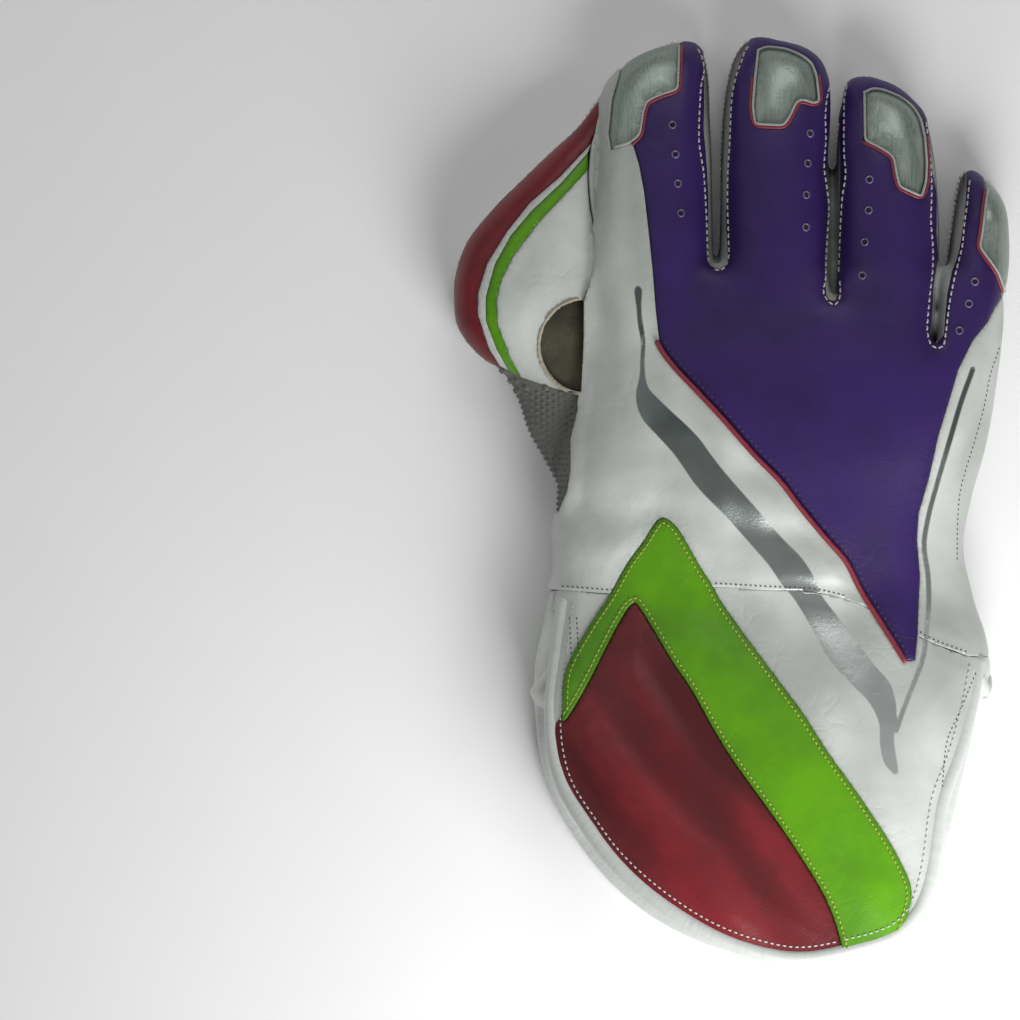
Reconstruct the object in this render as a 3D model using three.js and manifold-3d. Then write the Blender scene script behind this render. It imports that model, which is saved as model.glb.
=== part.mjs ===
// A wicketkeeping glove for the right hand, lying on its palm with its back up.
// X runs across the hand from the thumb's side, Y runs from the cuff to the fingertips,
// Z is up. The origin is on the ground under the middle of the glove. Millimetres.
import * as THREE from 'three';
import { mergeVertices } from 'three/addons/utils/BufferGeometryUtils.js';
import Module from 'manifold-3d';

const wasm = await Module();
wasm.setup();

// Lengths along the glove.
const CUFF_LENGTH = 134; // cuff's end to the wrist crease
const PALM_LENGTH = 110; // wrist crease to the finger roots
const FINGER_LENGTH = 96; // finger roots to the longest fingertip

// Widths across it, and heights above the ground.
const HAND_WIDTH = 152; // outside of the first finger to outside of the little finger
const THUMB_REACH = 50; // how far the thumb stands out beside the hand
const CUFF_DEPTH = 65;
const HAND_DEPTH = 50;
const FINGER_DEPTH = 44;
const THUMB_DEPTH = 34;
const PALM_WRAP = 10; // how high the palm facing comes up the sides
const FOURCHETTE_TOP = 23; // where the strips between the fingers meet the back
const PALM_CUP = 4; // rise of the hollow in the middle of the palm

// Walls, trims and small features.
const LEATHER_WALL = 3;
const CUFF_WALL = 5; // two leathers with a pad between
const BINDING_RADIUS = 3.2;
const PIPING_RADIUS = 0.9;
const SLOT_WIDTH = 4.4; // gap between two fingers at its closed end
const VENT_DIAMETER = 2.2;
const EYE_WIDTH = 15; // oval opening in the thumb's back
const EYE_LENGTH = 31;
const SEAM_GAP = 0.3; // clearance between two pieces that are sewn together

// Shape of every cross-section: a rounded box that is widest below its middle
// and pressed flat where it lies on the ground.
const WIDEST_SHARE = 0.42;
const ROUNDNESS = 2.4;
const FINGER_ROUNDNESS = 3; // fingers are squarer than the hand
const PALM_ROUNDNESS = 4; // and every section is squarer below its widest line
const GROUND_PRESS = 1.5;

// Places across: 0 is the hand's thumb side and 1 its little finger side, as shares of
// HAND_WIDTH. Below 0 they are shares of THUMB_REACH.
const across = (u) => u * (u < 0 ? THUMB_REACH : HAND_WIDTH);

// Places along: 0 to 1 up the cuff, 1 to 2 up the palm and 2 to 3 up the fingers.
const STRETCHES = [CUFF_LENGTH, PALM_LENGTH, FINGER_LENGTH];
function along(v) {
  return STRETCHES.reduce((sum, length, i) => {
    const share = i === 0 ? Math.min(v, 1) : Math.min(Math.max(v - i, 0), i === 2 ? v : 1);
    return sum + length * share;
  }, 0);
}

// Makes the rows of a table of sections: where each lies along the glove, its two sides
// and its top as a share of depth.
const rowsOf = (depth, wall) => (v, left, right, top) => ({ v, left, right, top: top * depth, wall });
const cuffRow = rowsOf(CUFF_DEPTH, CUFF_WALL);
const handRow = rowsOf(HAND_DEPTH, LEATHER_WALL);
const fingerRow = rowsOf(FINGER_DEPTH, LEATHER_WALL);
const thumbRow = rowsOf(THUMB_DEPTH, LEATHER_WALL);

// Sections of the body, from the cuff's mouth to the finger roots.
const BODY_ROWS = [
  cuffRow(0.0, -0.41, 0.956, 1.0),
  cuffRow(0.29, -0.41, 0.956, 0.96),
  cuffRow(0.56, -0.42, 0.956, 0.9),
  cuffRow(0.73, -0.43, 0.964, 0.84),
  cuffRow(0.86, -0.38, 0.964, 0.78),
  handRow(1.0, -0.31, 0.925, 0.92),
  handRow(1.17, -0.26, 0.9, 0.94),
  handRow(1.33, -0.24, 0.915, 0.97),
  handRow(1.5, -0.2, 0.95, 1.0),
  handRow(1.67, -0.09, 0.976, 1.0),
  handRow(1.85, -0.04, 0.993, 0.95),
  handRow(2.0, 0.003, 0.998, 0.88),
  handRow(2.08, 0.004, 1.0, 0.8),
  handRow(2.12, 0.006, 1.0, 0.68),
];

// Sections of each finger, from inside the hand to its tip.
const FINGERS = {
  index: [
    fingerRow(1.72, 0.1, 0.33, 0.88),
    fingerRow(1.94, 0.012, 0.305, 0.97),
    fingerRow(2.15, 0.005, 0.3, 0.95),
    fingerRow(2.38, 0.017, 0.293, 0.89),
    fingerRow(2.58, 0.024, 0.293, 0.82),
    fingerRow(2.73, 0.027, 0.288, 0.75),
    fingerRow(2.83, 0.039, 0.286, 0.68),
    fingerRow(2.9, 0.077, 0.281, 0.61),
    fingerRow(2.95, 0.13, 0.274, 0.51),
    fingerRow(2.985, 0.185, 0.262, 0.36),
  ],
  middle: [
    fingerRow(1.8, 0.38, 0.56, 1.0),
    fingerRow(2.06, 0.324, 0.577, 0.98),
    fingerRow(2.27, 0.327, 0.576, 0.93),
    fingerRow(2.58, 0.332, 0.574, 0.84),
    fingerRow(2.75, 0.339, 0.575, 0.77),
    fingerRow(2.85, 0.345, 0.572, 0.7),
    fingerRow(2.92, 0.352, 0.556, 0.62),
    fingerRow(2.97, 0.362, 0.52, 0.5),
    fingerRow(3.0, 0.378, 0.45, 0.36),
  ],
  ring: [
    fingerRow(1.65, 0.65, 0.79, 0.96),
    fingerRow(1.87, 0.61, 0.818, 0.97),
    fingerRow(2.0, 0.604, 0.822, 0.93),
    fingerRow(2.23, 0.606, 0.826, 0.88),
    fingerRow(2.46, 0.606, 0.826, 0.82),
    fingerRow(2.6, 0.608, 0.82, 0.76),
    fingerRow(2.7, 0.612, 0.804, 0.68),
    fingerRow(2.77, 0.616, 0.776, 0.6),
    fingerRow(2.82, 0.62, 0.74, 0.48),
    fingerRow(2.85, 0.628, 0.7, 0.34),
  ],
  little: [
    fingerRow(1.58, 0.86, 0.91, 0.78),
    fingerRow(1.8, 0.854, 0.972, 0.86),
    fingerRow(2.0, 0.857, 1.0, 0.84),
    fingerRow(2.19, 0.869, 1.01, 0.77),
    fingerRow(2.33, 0.882, 1.006, 0.7),
    fingerRow(2.4, 0.889, 0.992, 0.6),
    fingerRow(2.46, 0.896, 0.965, 0.48),
    fingerRow(2.49, 0.902, 0.94, 0.36),
  ],
};

// Sections of the thumb's stall with the web up to the first finger, from the heel up.
const THUMB_ROWS = [
  thumbRow(1.37, -0.22, 0.06, 0.55),
  thumbRow(1.47, -0.33, 0.08, 0.68),
  thumbRow(1.57, -0.45, 0.1, 0.76),
  thumbRow(1.67, -0.52, 0.12, 0.8),
  thumbRow(1.75, -0.62, 0.12, 0.84),
  thumbRow(1.83, -0.84, 0.12, 0.91),
  thumbRow(1.92, -0.98, 0.12, 0.97),
  thumbRow(2.0, -1.0, 0.12, 1.0),
  thumbRow(2.1, -0.99, 0.06, 1.0),
  thumbRow(2.23, -0.9, 0.035, 0.97),
  thumbRow(2.37, -0.68, 0.035, 0.91),
  thumbRow(2.48, -0.47, 0.038, 0.82),
  thumbRow(2.58, -0.27, 0.045, 0.72),
  thumbRow(2.67, -0.085, 0.05, 0.6),
  thumbRow(2.77, 0.015, 0.053, 0.42),
];

// The closed end of each gap between two fingers, and where its open end points.
const SLOTS = [
  { name: 'index_middle', foot: [0.312, 2.12], head: [0.31, 3.1], leftTip: 0.225, rightTip: 0.41 },
  { name: 'middle_ring', foot: [0.589, 1.99], head: [0.59, 3.1], leftTip: 0.41, rightTip: 0.664 },
  { name: 'ring_little', foot: [0.834, 1.84], head: [0.858, 3.1], leftTip: 0.664, rightTip: 0.922 },
];

// Outlines of the sewn panels, seen from above, as [across, along] pairs.
const BACK_LEFT_EDGE = [
  [0.225, 3.2], [0.222, 2.78], [0.157, 2.758], [0.133, 2.71], [0.111, 2.577], [0.123, 2.53],
  [0.14, 2.346], [0.153, 2.115], [0.162, 1.867], [0.182, 1.807], [0.266, 1.65], [0.436, 1.333],
  [0.63, 1.0], [0.714, 0.89], [0.775, 0.83],
];
const BACK_RIGHT_EDGE = [
  [0.794, 0.986], [0.787, 1.2], [0.806, 1.373], [0.852, 1.583], [0.891, 1.717], [0.939, 1.85],
  [0.964, 1.96], [0.975, 2.09], [0.939, 2.231], [0.952, 2.4], [0.956, 2.6], [0.956, 3.2],
];
const CAPS = {
  index: [
    [0.085, 3.2], [0.218, 3.2], [0.215, 2.8], [0.157, 2.775], [0.124, 2.723], [0.102, 2.585],
    [0.061, 2.558], [0.05, 2.615], [0.05, 2.8], [0.07, 2.86],
  ],
  middle: [
    [0.407, 3.2], [0.52, 3.2], [0.545, 2.877], [0.55, 2.769], [0.504, 2.777], [0.475, 2.673],
    [0.4, 2.662], [0.387, 2.731],
  ],
  ring: [
    [0.666, 3.2], [0.75, 3.2], [0.79, 2.73], [0.804, 2.538], [0.806, 2.385], [0.751, 2.423],
    [0.726, 2.558], [0.659, 2.596],
  ],
  little: [[0.96, 2.8], [1.2, 2.8], [1.2, 2.1], [0.98, 2.1], [0.945, 2.231], [0.957, 2.4]],
};
const CHEVRON = [
  [0.177, 1.273], [0.242, 1.157], [0.327, 0.951], [0.484, 0.704], [0.63, 0.479], [0.731, 0.31],
  [0.768, 0.211], [0.72, 0.03], [0.62, -0.1], [0.571, 0.164], [0.484, 0.334], [0.315, 0.636],
  [0.169, 0.885], [0.14, 0.959], [0.111, 0.989], [0.077, 0.959], [0.024, 0.836], [-0.13, 0.685],
  [-0.34, 0.6], [-0.34, 0.66], [0.0, 0.89], [0.097, 1.1],
];
const CUFF_INSET = [
  [-0.6, 0.7], [0.0, 0.75], [0.11, 1.0], [0.3, 0.7], [0.5, 0.34], [0.6, 0.164], [0.7, -0.2],
  [-0.6, -0.2],
];
const CUFF_BACK_OUTLINE = [
  [-0.3, 1.3], [-0.3, 0.95], [-0.33, 0.863], [-0.37, 0.726], [-0.36, 0.589], [-0.27, 0.479],
  [-0.11, 0.384], [0.036, 0.274], [0.145, 0.164], [0.266, 0.077], [0.387, 0.025], [0.496, 0.003],
  [0.63, 0.027], [0.751, 0.084], [0.811, 0.155], [0.84, 0.26], [0.867, 0.44], [0.901, 0.548],
  [0.937, 0.685], [0.95, 0.82], [0.925, 0.945], [0.92, 1.3],
];
const CUFF_PALM_OUTLINE = [
  [-0.41, 0.62], [-0.38, 0.52], [-0.3, 0.45], [-0.15, 0.356], [0.048, 0.225], [0.169, 0.125],
  [0.315, 0.045], [0.436, 0.016], [0.581, 0.033], [0.714, 0.096], [0.811, 0.192], [0.867, 0.315],
  [0.896, 0.452], [0.93, 0.6], [0.956, 0.7],
];
const PALM_BAND = [
  [-0.36, 1.2], [-0.06, 1.2], [0.0, 0.89], [0.16, 0.62], [0.56, -0.1], [0.33, -0.1], [0.02, 0.42],
  [-0.2, 0.66], [-0.34, 0.84],
];
const PALM_INSET = [
  [-3, 1.2], [-0.35, 1.2], [-0.3, 0.84], [-0.1, 0.66], [0.06, 0.42], [0.36, -0.1], [-3, -0.1],
];
const WRIST_SEAM = [
  [-1.5, 1.033], [-0.22, 1.033], [0.056, 1.02], [0.295, 1.043], [0.421, 1.033], [0.545, 1.023],
  [0.654, 0.986], [0.823, 0.882], [0.908, 0.847], [1.3, 0.847],
];
const THUMB_BAND_EDGE = [
  [0.02, 2.9], [0.02, 2.577], [0.0, 2.5], [-0.22, 2.423], [-0.52, 2.288], [-0.74, 2.135],
  [-0.83, 2.019], [-0.81, 1.917], [-0.74, 1.833], [-0.61, 1.76], [-0.52, 1.69], [-0.52, 1.5],
];
const THUMB_LINE_EDGE = [
  [0.02, 2.51], [-0.06, 2.44], [-0.33, 2.345], [-0.56, 2.231], [-0.71, 2.085], [-0.76, 1.967],
  [-0.7, 1.855], [-0.58, 1.785], [-0.47, 1.69], [-0.47, 1.5],
];
const THUMB_STRIPE_EDGE = [
  [0.02, 2.43], [-0.06, 2.38], [-0.26, 2.3], [-0.47, 2.2], [-0.62, 2.06], [-0.66, 1.967],
  [-0.6, 1.867], [-0.48, 1.773], [-0.36, 1.69], [-0.36, 1.5],
];
const VENTS = [
  [0.199, 2.673], [0.206, 2.558], [0.211, 2.442], [0.218, 2.338], [0.525, 2.6], [0.516, 2.5],
  [0.516, 2.39], [0.516, 2.281], [0.673, 2.462], [0.673, 2.346], [0.661, 2.223], [0.654, 2.096],
  [0.927, 2.069], [0.91, 1.987], [0.889, 1.897],
];

// Places that the panels share.
const PIPING_START = 8; // the point of the back panel's edge where the piping starts
const PALM_END = 0.945; // the palm facing's lower seam
const THENAR = { left: -1.3, right: -0.09, low: 1.37, high: 1.7 }; // it wraps up the thumb's ball here
const THUMB_EDGE = 0.012; // the crease between the thumb's web and the hand
const CUFF_SIDE_END = 0.68; // how far down the cuff's sides reach
const CHEVRON_START = 0.95; // the binding doesn't bound the chevron above this
const EYE_PLACE = [-0.25, 1.83];
const WRIST_POINT = [0.77, 0.915]; // the back panel's lower end, on the wrist seam
const WRIST_SEAM_SPLIT = 7; // the points of the wrist seam on the thumb's side of it

// Places off the glove, for cutting regions that run past its outline.
const FAR_LEFT = -3;
const FAR_RIGHT = 1.5;
const FAR_DOWN = -1;
const FAR_UP = 4;
const TALL = 3 * CUFF_DEPTH;

// Turns a closed geometry into a solid that can be joined and cut.
function solid(geometry) {
  geometry.deleteAttribute('normal');
  geometry.deleteAttribute('uv');
  const merged = mergeVertices(geometry, 1e-4);
  return new wasm.Manifold(new wasm.Mesh({
    numProp: 3,
    vertProperties: new Float32Array(merged.attributes.position.array),
    triVerts: new Uint32Array(merged.index.array),
  }));
}

const union = (solids) => solids.reduce((sum, next) => sum.add(next));

// A point's share of a cross-section's half width or height, from -1 to 1.
const rounded = (x, roundness) => Math.sign(x) * Math.abs(x) ** (2 / roundness);

// The middle and half width of a section, and its widest, top and bottom heights.
function measure(row, inset = 0) {
  const left = across(row.left) + inset;
  const right = across(row.right) - inset;
  return {
    middle: (left + right) / 2,
    half: (right - left) / 2,
    widest: row.top * WIDEST_SHARE,
    top: row.top - inset,
    bottom: inset - GROUND_PRESS,
    floor: inset,
  };
}

// The hollow of the palm, which fades away from its middle.
function cupRise(x, y) {
  const dx = (x - across(0.5)) / (0.42 * HAND_WIDTH);
  const dy = (y - along(1.6)) / (0.62 * PALM_LENGTH);
  return PALM_CUP * Math.max(0, 1 - dx * dx - dy * dy);
}

// A closed loft through sections, either the outer form or the hollow inside its wall.
function loft(rows, segments, roundness, hollow) {
  const positions = [];
  const indices = [];
  const rings = rows.map((row) => {
    const wall = hollow ? row.wall : 0;
    const size = measure(row, wall);
    const y = along(row.v) - wall;
    const ring = [];
    for (let i = 0; i < segments; i++) {
      const angle = (i / segments) * 2 * Math.PI;
      const squareness = Math.sin(angle) > 0 ? roundness : PALM_ROUNDNESS;
      const x = size.middle + size.half * rounded(Math.cos(angle), squareness);
      const lift = rounded(Math.sin(angle), squareness);
      const reach = lift > 0 ? size.top - size.widest : size.widest - size.bottom;
      const z = Math.max(size.widest + lift * reach, size.floor);
      ring.push(new THREE.Vector3(x, y, z + cupRise(x, y) * (1 - z / row.top)));
    }
    return ring;
  });
  rings.forEach((ring) => ring.forEach((p) => positions.push(p.x, p.y, p.z)));
  for (let r = 0; r + 1 < rings.length; r++) {
    for (let i = 0; i < segments; i++) {
      const a = r * segments + i;
      const b = r * segments + ((i + 1) % segments);
      indices.push(a, b + segments, b, a, a + segments, b + segments);
    }
  }
  [0, rings.length - 1].forEach((r) => {
    const centre = rings[r].reduce((sum, p) => sum.add(p), new THREE.Vector3()).divideScalar(segments);
    const hub = positions.length / 3;
    positions.push(centre.x, centre.y, centre.z);
    for (let i = 0; i < segments; i++) {
      const a = r * segments + i;
      const b = r * segments + ((i + 1) % segments);
      indices.push(...(r === 0 ? [hub, a, b] : [hub, b, a]));
    }
  });
  const geometry = new THREE.BufferGeometry();
  geometry.setAttribute('position', new THREE.Float32BufferAttribute(positions, 3));
  geometry.setIndex(indices);
  return solid(geometry);
}

const place = (points) => points.map(([u, v]) => new THREE.Vector2(across(u), along(v)));

// An outline moved outwards by distance, or inwards if that is negative.
function grow(outline, distance) {
  const turn = THREE.ShapeUtils.isClockWise(outline) ? -1 : 1;
  return outline.map((p, i) => {
    const before = outline[(i + outline.length - 1) % outline.length];
    const after = outline[(i + 1) % outline.length];
    const a = p.clone().sub(before).normalize();
    const b = after.clone().sub(p).normalize();
    const normal = new THREE.Vector2(a.y + b.y, -a.x - b.x).normalize();
    const corner = Math.max(normal.dot(new THREE.Vector2(a.y, -a.x)), 0.5);
    return p.clone().addScaledVector(normal, (turn * distance) / corner);
  });
}

// An upright block with the given outline between two heights.
function block(outline, low = -TALL, high = TALL) {
  const geometry = new THREE.ExtrudeGeometry(new THREE.Shape(outline), {
    depth: high - low,
    bevelEnabled: false,
  });
  geometry.translate(0, 0, low);
  return solid(geometry);
}

// A rod of round section along a path.
function rod(path, radius, sides, steps) {
  const circle = new THREE.Shape();
  for (let i = 0; i < sides; i++) {
    const angle = ((i + 0.5) / sides) * 2 * Math.PI;
    const x = (radius * Math.cos(angle)) / Math.cos(Math.PI / sides);
    const y = (radius * Math.sin(angle)) / Math.cos(Math.PI / sides);
    if (i === 0) circle.moveTo(x, y);
    else circle.lineTo(x, y);
  }
  const curve = new THREE.CatmullRomCurve3(path, false, 'centripetal');
  return solid(new THREE.ExtrudeGeometry(circle, { steps, extrudePath: curve, bevelEnabled: false }));
}

// The largest body of a cut, without the slivers that a cut can leave.
function largest(cut) {
  return cut.decompose().reduce((best, next) => (next.volume() > best.volume() ? next : best));
}

// The gap between two fingers, as a narrow block with a round foot.
function slotBlock({ foot, head }, margin) {
  const [low, high] = place([foot, head]);
  const half = SLOT_WIDTH / 2 + margin;
  const outline = [];
  for (let i = 0; i <= 8; i++) {
    const angle = Math.PI + (i / 8) * Math.PI;
    outline.push(new THREE.Vector2(
      low.x + half * Math.cos(angle),
      low.y + half * (1 + Math.sin(angle)) - margin,
    ));
  }
  outline.push(new THREE.Vector2(high.x + half, high.y), new THREE.Vector2(high.x - half, high.y));
  return block(outline);
}

// Every other section and the last, enough for the hollow inside.
const sparse = (rows) => rows.filter((row, i) => i % 2 === 0 || i === rows.length - 1);

// The whole glove's outer form and the hollow inside it.
const BODY_SIDES = { outer: 24, hollow: 12 };
const FINGER_SIDES = { outer: 12, hollow: 8 };
const NARROWEST = 2.2; // a section whose half width is fewer walls than this has no hollow
const mouth = { ...BODY_ROWS[0], v: -0.2 }; // the hollow runs out through the cuff's end
function form(hollow) {
  const slotMargin = hollow ? LEATHER_WALL : 0;
  const side = hollow ? 'hollow' : 'outer';
  const bodyRows = hollow ? [mouth, ...sparse(BODY_ROWS)] : BODY_ROWS;
  const hand = loft(bodyRows, BODY_SIDES[side], ROUNDNESS, hollow);
  const slots = union(SLOTS.map((slot) => slotBlock(slot, slotMargin)));
  const wideEnough = (rows) => rows.filter((row) => measure(row).half > NARROWEST * row.wall);
  const chosen = (rows) => (hollow ? sparse(wideEnough(rows)) : rows);
  const fingers = Object.values(FINGERS).map((rows) => (
    loft(chosen(rows), FINGER_SIDES[side], FINGER_ROUNDNESS, hollow)
  ));
  const thumb = loft(chosen(THUMB_ROWS), FINGER_SIDES[side], ROUNDNESS, hollow);
  return union([hand.subtract(slots), ...fingers, thumb]);
}

function ellipse([u, v], width, length, sides) {
  const outline = [];
  for (let i = 0; i < sides; i++) {
    const angle = (i / sides) * 2 * Math.PI;
    outline.push(new THREE.Vector2(
      across(u) + (width / 2) * Math.cos(angle),
      along(v) + (length / 2) * Math.sin(angle),
    ));
  }
  return outline;
}

const eye = block(ellipse(EYE_PLACE, EYE_WIDTH, EYE_LENGTH, 16), THUMB_DEPTH / 3);
let shell = form(false).subtract(form(true)).subtract(eye);

// Takes the part of the shell inside a region, and clears a seam round it.
function take(outline, low = -TALL, high = TALL) {
  const piece = shell.intersect(block(outline, low, high));
  shell = shell.subtract(block(grow(outline, SEAM_GAP), low - SEAM_GAP, high + SEAM_GAP));
  return piece;
}

const group = new THREE.Group();

function addPiece(name, piece, colour, roughness, metalness = 0) {
  const mesh = largest(piece).getMesh();
  const geometry = new THREE.BufferGeometry();
  geometry.setAttribute('position', new THREE.BufferAttribute(mesh.vertProperties, 3));
  geometry.setIndex(new THREE.BufferAttribute(mesh.triVerts, 1));
  geometry.computeVertexNormals();
  const material = new THREE.MeshStandardMaterial({ color: colour, roughness, metalness });
  const node = new THREE.Mesh(geometry, material);
  node.name = name;
  group.add(node);
}

const PURPLE = 0x41286e;
const WHITE = 0xd3d8d3;
const RUBBER = 0xe8e6ec;
const GREEN = 0x58a020;
const RED = 0x8a2c3c;
const SILVER = 0x9aa79c;
const RAW_EDGE = 0xb9ad94;

// Palm facing: the whole palm side of the hand, and the wrap over the thumb's ball.
const strip = (low, high) => (
  place([[FAR_LEFT, low], [FAR_RIGHT, low], [FAR_RIGHT, high], [FAR_LEFT, high]])
);
const palmOutline = strip(PALM_END, FAR_UP);
const thenarOutline = place([
  [THENAR.left, THENAR.low], [THENAR.right, THENAR.low],
  [THENAR.right, THENAR.high], [THENAR.left, THENAR.high],
]);
const palmZone = (margin) => block(grow(palmOutline, margin), -TALL, PALM_WRAP + margin)
  .add(block(grow(thenarOutline, margin)));
addPiece('palm_facing', shell.intersect(palmZone(0)), RUBBER, 0.7);
shell = shell.subtract(palmZone(SEAM_GAP));

// Fourchettes: the strips that join back and palm along each pair of fingers. They run
// from the middle of one fingertip round the gap's closed end to the next, and taper to it.
const TIP_MARGIN = 0.002;
const FOOT_MARGIN = 0.04;
const TAPER_START = 2.7;
SLOTS.forEach(({ name, foot, leftTip, rightTip }) => {
  const end = foot[1] - 0.1;
  const outline = place([
    [leftTip + TIP_MARGIN, FAR_UP], [leftTip + TIP_MARGIN, TAPER_START], [leftTip + FOOT_MARGIN, end],
    [rightTip - FOOT_MARGIN, end], [rightTip - TIP_MARGIN, TAPER_START], [rightTip - TIP_MARGIN, FAR_UP],
  ]);
  addPiece(`${name}_fourchette`, take(outline, PALM_WRAP, FOURCHETTE_TOP), RAW_EDGE, 0.9);
});

// Fingertip caps.
Object.entries(CAPS).forEach(([finger, outline]) => {
  addPiece(`${finger}_cap`, take(place(outline), PALM_WRAP), SILVER, 0.35, 0.5);
});

// Heights of the middle of the body's wall over a point, above or below its widest line.
function bodyRow(y) {
  const next = Math.max(1, BODY_ROWS.findIndex((row) => along(row.v) >= y));
  const [a, b] = [BODY_ROWS[next - 1], BODY_ROWS[next]];
  const t = Math.min(Math.max((y - along(a.v)) / (along(b.v) - along(a.v)), 0), 1);
  const blend = (key) => a[key] + t * (b[key] - a[key]);
  return { left: blend('left'), right: blend('right'), top: blend('top'), wall: blend('wall') };
}
function wallHeight(x, y, side, depth) {
  const row = bodyRow(y);
  const size = measure(row, depth * row.wall);
  const roundness = side === 'back' ? ROUNDNESS : PALM_ROUNDNESS;
  const t = Math.min(Math.abs((x - size.middle) / size.half), 1);
  const lift = (1 - t ** roundness) ** (1 / roundness);
  return side === 'back'
    ? size.widest + (size.top - size.widest) * lift
    : Math.max(size.widest - (size.widest - size.bottom) * lift, size.floor);
}

// Seam piping: a thin cord sewn in along the long edge of the back panel.
const PIPING_SIDES = 6;
const PIPING_STEPS = 14;
const pipingPath = place(BACK_LEFT_EDGE.slice(PIPING_START))
  .map((p) => new THREE.Vector3(p.x, p.y, wallHeight(p.x, p.y, 'back', 0)));
const piping = (margin) => rod(pipingPath, PIPING_RADIUS + margin, PIPING_SIDES, PIPING_STEPS);
addPiece('seam_piping', piping(0), RED, 0.5);
shell = shell.subtract(piping(SEAM_GAP));

// Back panel: one leather over the hand and fingers, with punched vents.
const VENT_SIDES = 6;
const vents = union(VENTS.map((vent) => (
  block(ellipse(vent, VENT_DIAMETER, VENT_DIAMETER, VENT_SIDES), PALM_WRAP)
)));
const backPiece = take(place([...BACK_LEFT_EDGE, ...BACK_RIGHT_EDGE]), PALM_WRAP);
addPiece('back_panel', backPiece.subtract(vents), PURPLE, 0.45);

// The cuff's back inside its binding, above the cuff's widest line.
const cuffSplit = CUFF_DEPTH * WIDEST_SHARE;
const cuffField = grow(place(CUFF_BACK_OUTLINE), -BINDING_RADIUS);
const insideBinding = block(cuffField, cuffSplit);

// Back binding: the padded roll from one side of the wrist, round the cuff, to the other.
const backEdge = cuffField.slice(1, -1);
const backPath = backEdge.map((p) => (
  new THREE.Vector3(p.x, p.y, wallHeight(p.x, p.y, 'back', 0.5))
));
const BINDING_STEPS = 28;
const BINDING_SIDES = 8;
const backBinding = (margin) => rod(backPath, BINDING_RADIUS + margin, BINDING_SIDES, BINDING_STEPS);
addPiece('cuff_back_binding', backBinding(0), WHITE, 0.5);
shell = shell.subtract(backBinding(SEAM_GAP));

// Palm binding: the same roll round the palm side of the mouth, up to the back binding.
// Where the palm lies on the ground, so does the roll.
const bindingLift = BINDING_RADIUS / Math.cos(Math.PI / BINDING_SIDES);
const palmField = grow(place([
  ...CUFF_PALM_OUTLINE, [FAR_RIGHT, 0.7], [FAR_RIGHT, FAR_UP], [FAR_LEFT, FAR_UP], [FAR_LEFT, 0.62],
]), -BINDING_RADIUS);
const palmEdge = palmField.slice(0, CUFF_PALM_OUTLINE.length);
const palmPath = palmEdge.map((p) => {
  const z = Math.max(wallHeight(p.x, p.y, 'palm', 0.5), bindingLift);
  return new THREE.Vector3(p.x, p.y, z);
});
const palmBinding = (margin) => rod(palmPath, BINDING_RADIUS + margin, BINDING_SIDES, BINDING_STEPS);
addPiece('cuff_palm_binding', palmBinding(0).subtract(backBinding(SEAM_GAP)), WHITE, 0.5);
shell = shell.subtract(palmBinding(SEAM_GAP));

// The cuff's mouth: what lies outside the two bindings is cut away.
const cuffZone = block(place([
  [FAR_LEFT, FAR_DOWN], [FAR_RIGHT, FAR_DOWN], ...[...WRIST_SEAM].reverse(),
]), cuffSplit);
const belowSides = block(strip(FAR_DOWN, CUFF_SIDE_END));
shell = shell.subtract(cuffZone.subtract(insideBinding).intersect(belowSides));
const aboveSplit = block(strip(FAR_DOWN, FAR_UP), cuffSplit);
shell = shell.intersect(block(palmField).add(aboveSplit));

// Chevron and inset on the cuff's back. The chevron's point crosses the wrist seam.
const wrist = block(strip(CHEVRON_START, FAR_UP));
const chevronZone = (margin) => block(grow(place(CHEVRON), margin), cuffSplit - margin)
  .intersect(insideBinding.add(wrist));
addPiece('cuff_chevron', shell.intersect(chevronZone(0)), GREEN, 0.45);
shell = shell.subtract(chevronZone(SEAM_GAP));
const insetZone = (margin) => block(grow(place(CUFF_INSET), margin), cuffSplit - margin)
  .intersect(insideBinding);
addPiece('cuff_inset', shell.intersect(insetZone(0)), RED, 0.45);
shell = shell.subtract(insetZone(SEAM_GAP));

// Cuff's back: what is left inside the binding below the wrist seam, beside the chevron.
const CHEVRON_MIDDLE = 0.1;
const besideChevron = (u) => block(place([
  [u, FAR_DOWN], [CHEVRON_MIDDLE, FAR_DOWN], [CHEVRON_MIDDLE, FAR_UP], [u, FAR_UP],
]));
const cuffBackZone = (margin) => cuffZone.intersect(insideBinding.translate([0, 0, -margin]));
const cuffBack = shell.intersect(cuffBackZone(0));
addPiece('cuff_back_thumb_side', cuffBack.intersect(besideChevron(FAR_LEFT)), WHITE, 0.4);
addPiece('cuff_back_little_side', cuffBack.intersect(besideChevron(FAR_RIGHT)), WHITE, 0.4);
shell = shell.subtract(cuffBackZone(SEAM_GAP));

// Thumb: edge band, line, stripe and panel, from its outside to the hand.
const outside = [[FAR_LEFT, 1.3], [FAR_LEFT, FAR_UP]];
const thumbZone = (edge) => place([...outside, ...edge]);
addPiece('thumb_edge_band', take(thumbZone(THUMB_BAND_EDGE)), RED, 0.45);
addPiece('thumb_edge_line', take(thumbZone(THUMB_LINE_EDGE)), WHITE, 0.45);
addPiece('thumb_stripe', take(thumbZone(THUMB_STRIPE_EDGE)), GREEN, 0.45);
addPiece('thumb_panel', take(place([
  [FAR_LEFT, THENAR.high], [FAR_LEFT, FAR_UP], [THUMB_EDGE, FAR_UP], [THUMB_EDGE, 2.0],
  [THENAR.right, 1.96], [THENAR.right, THENAR.high],
])), WHITE, 0.45);

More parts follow.
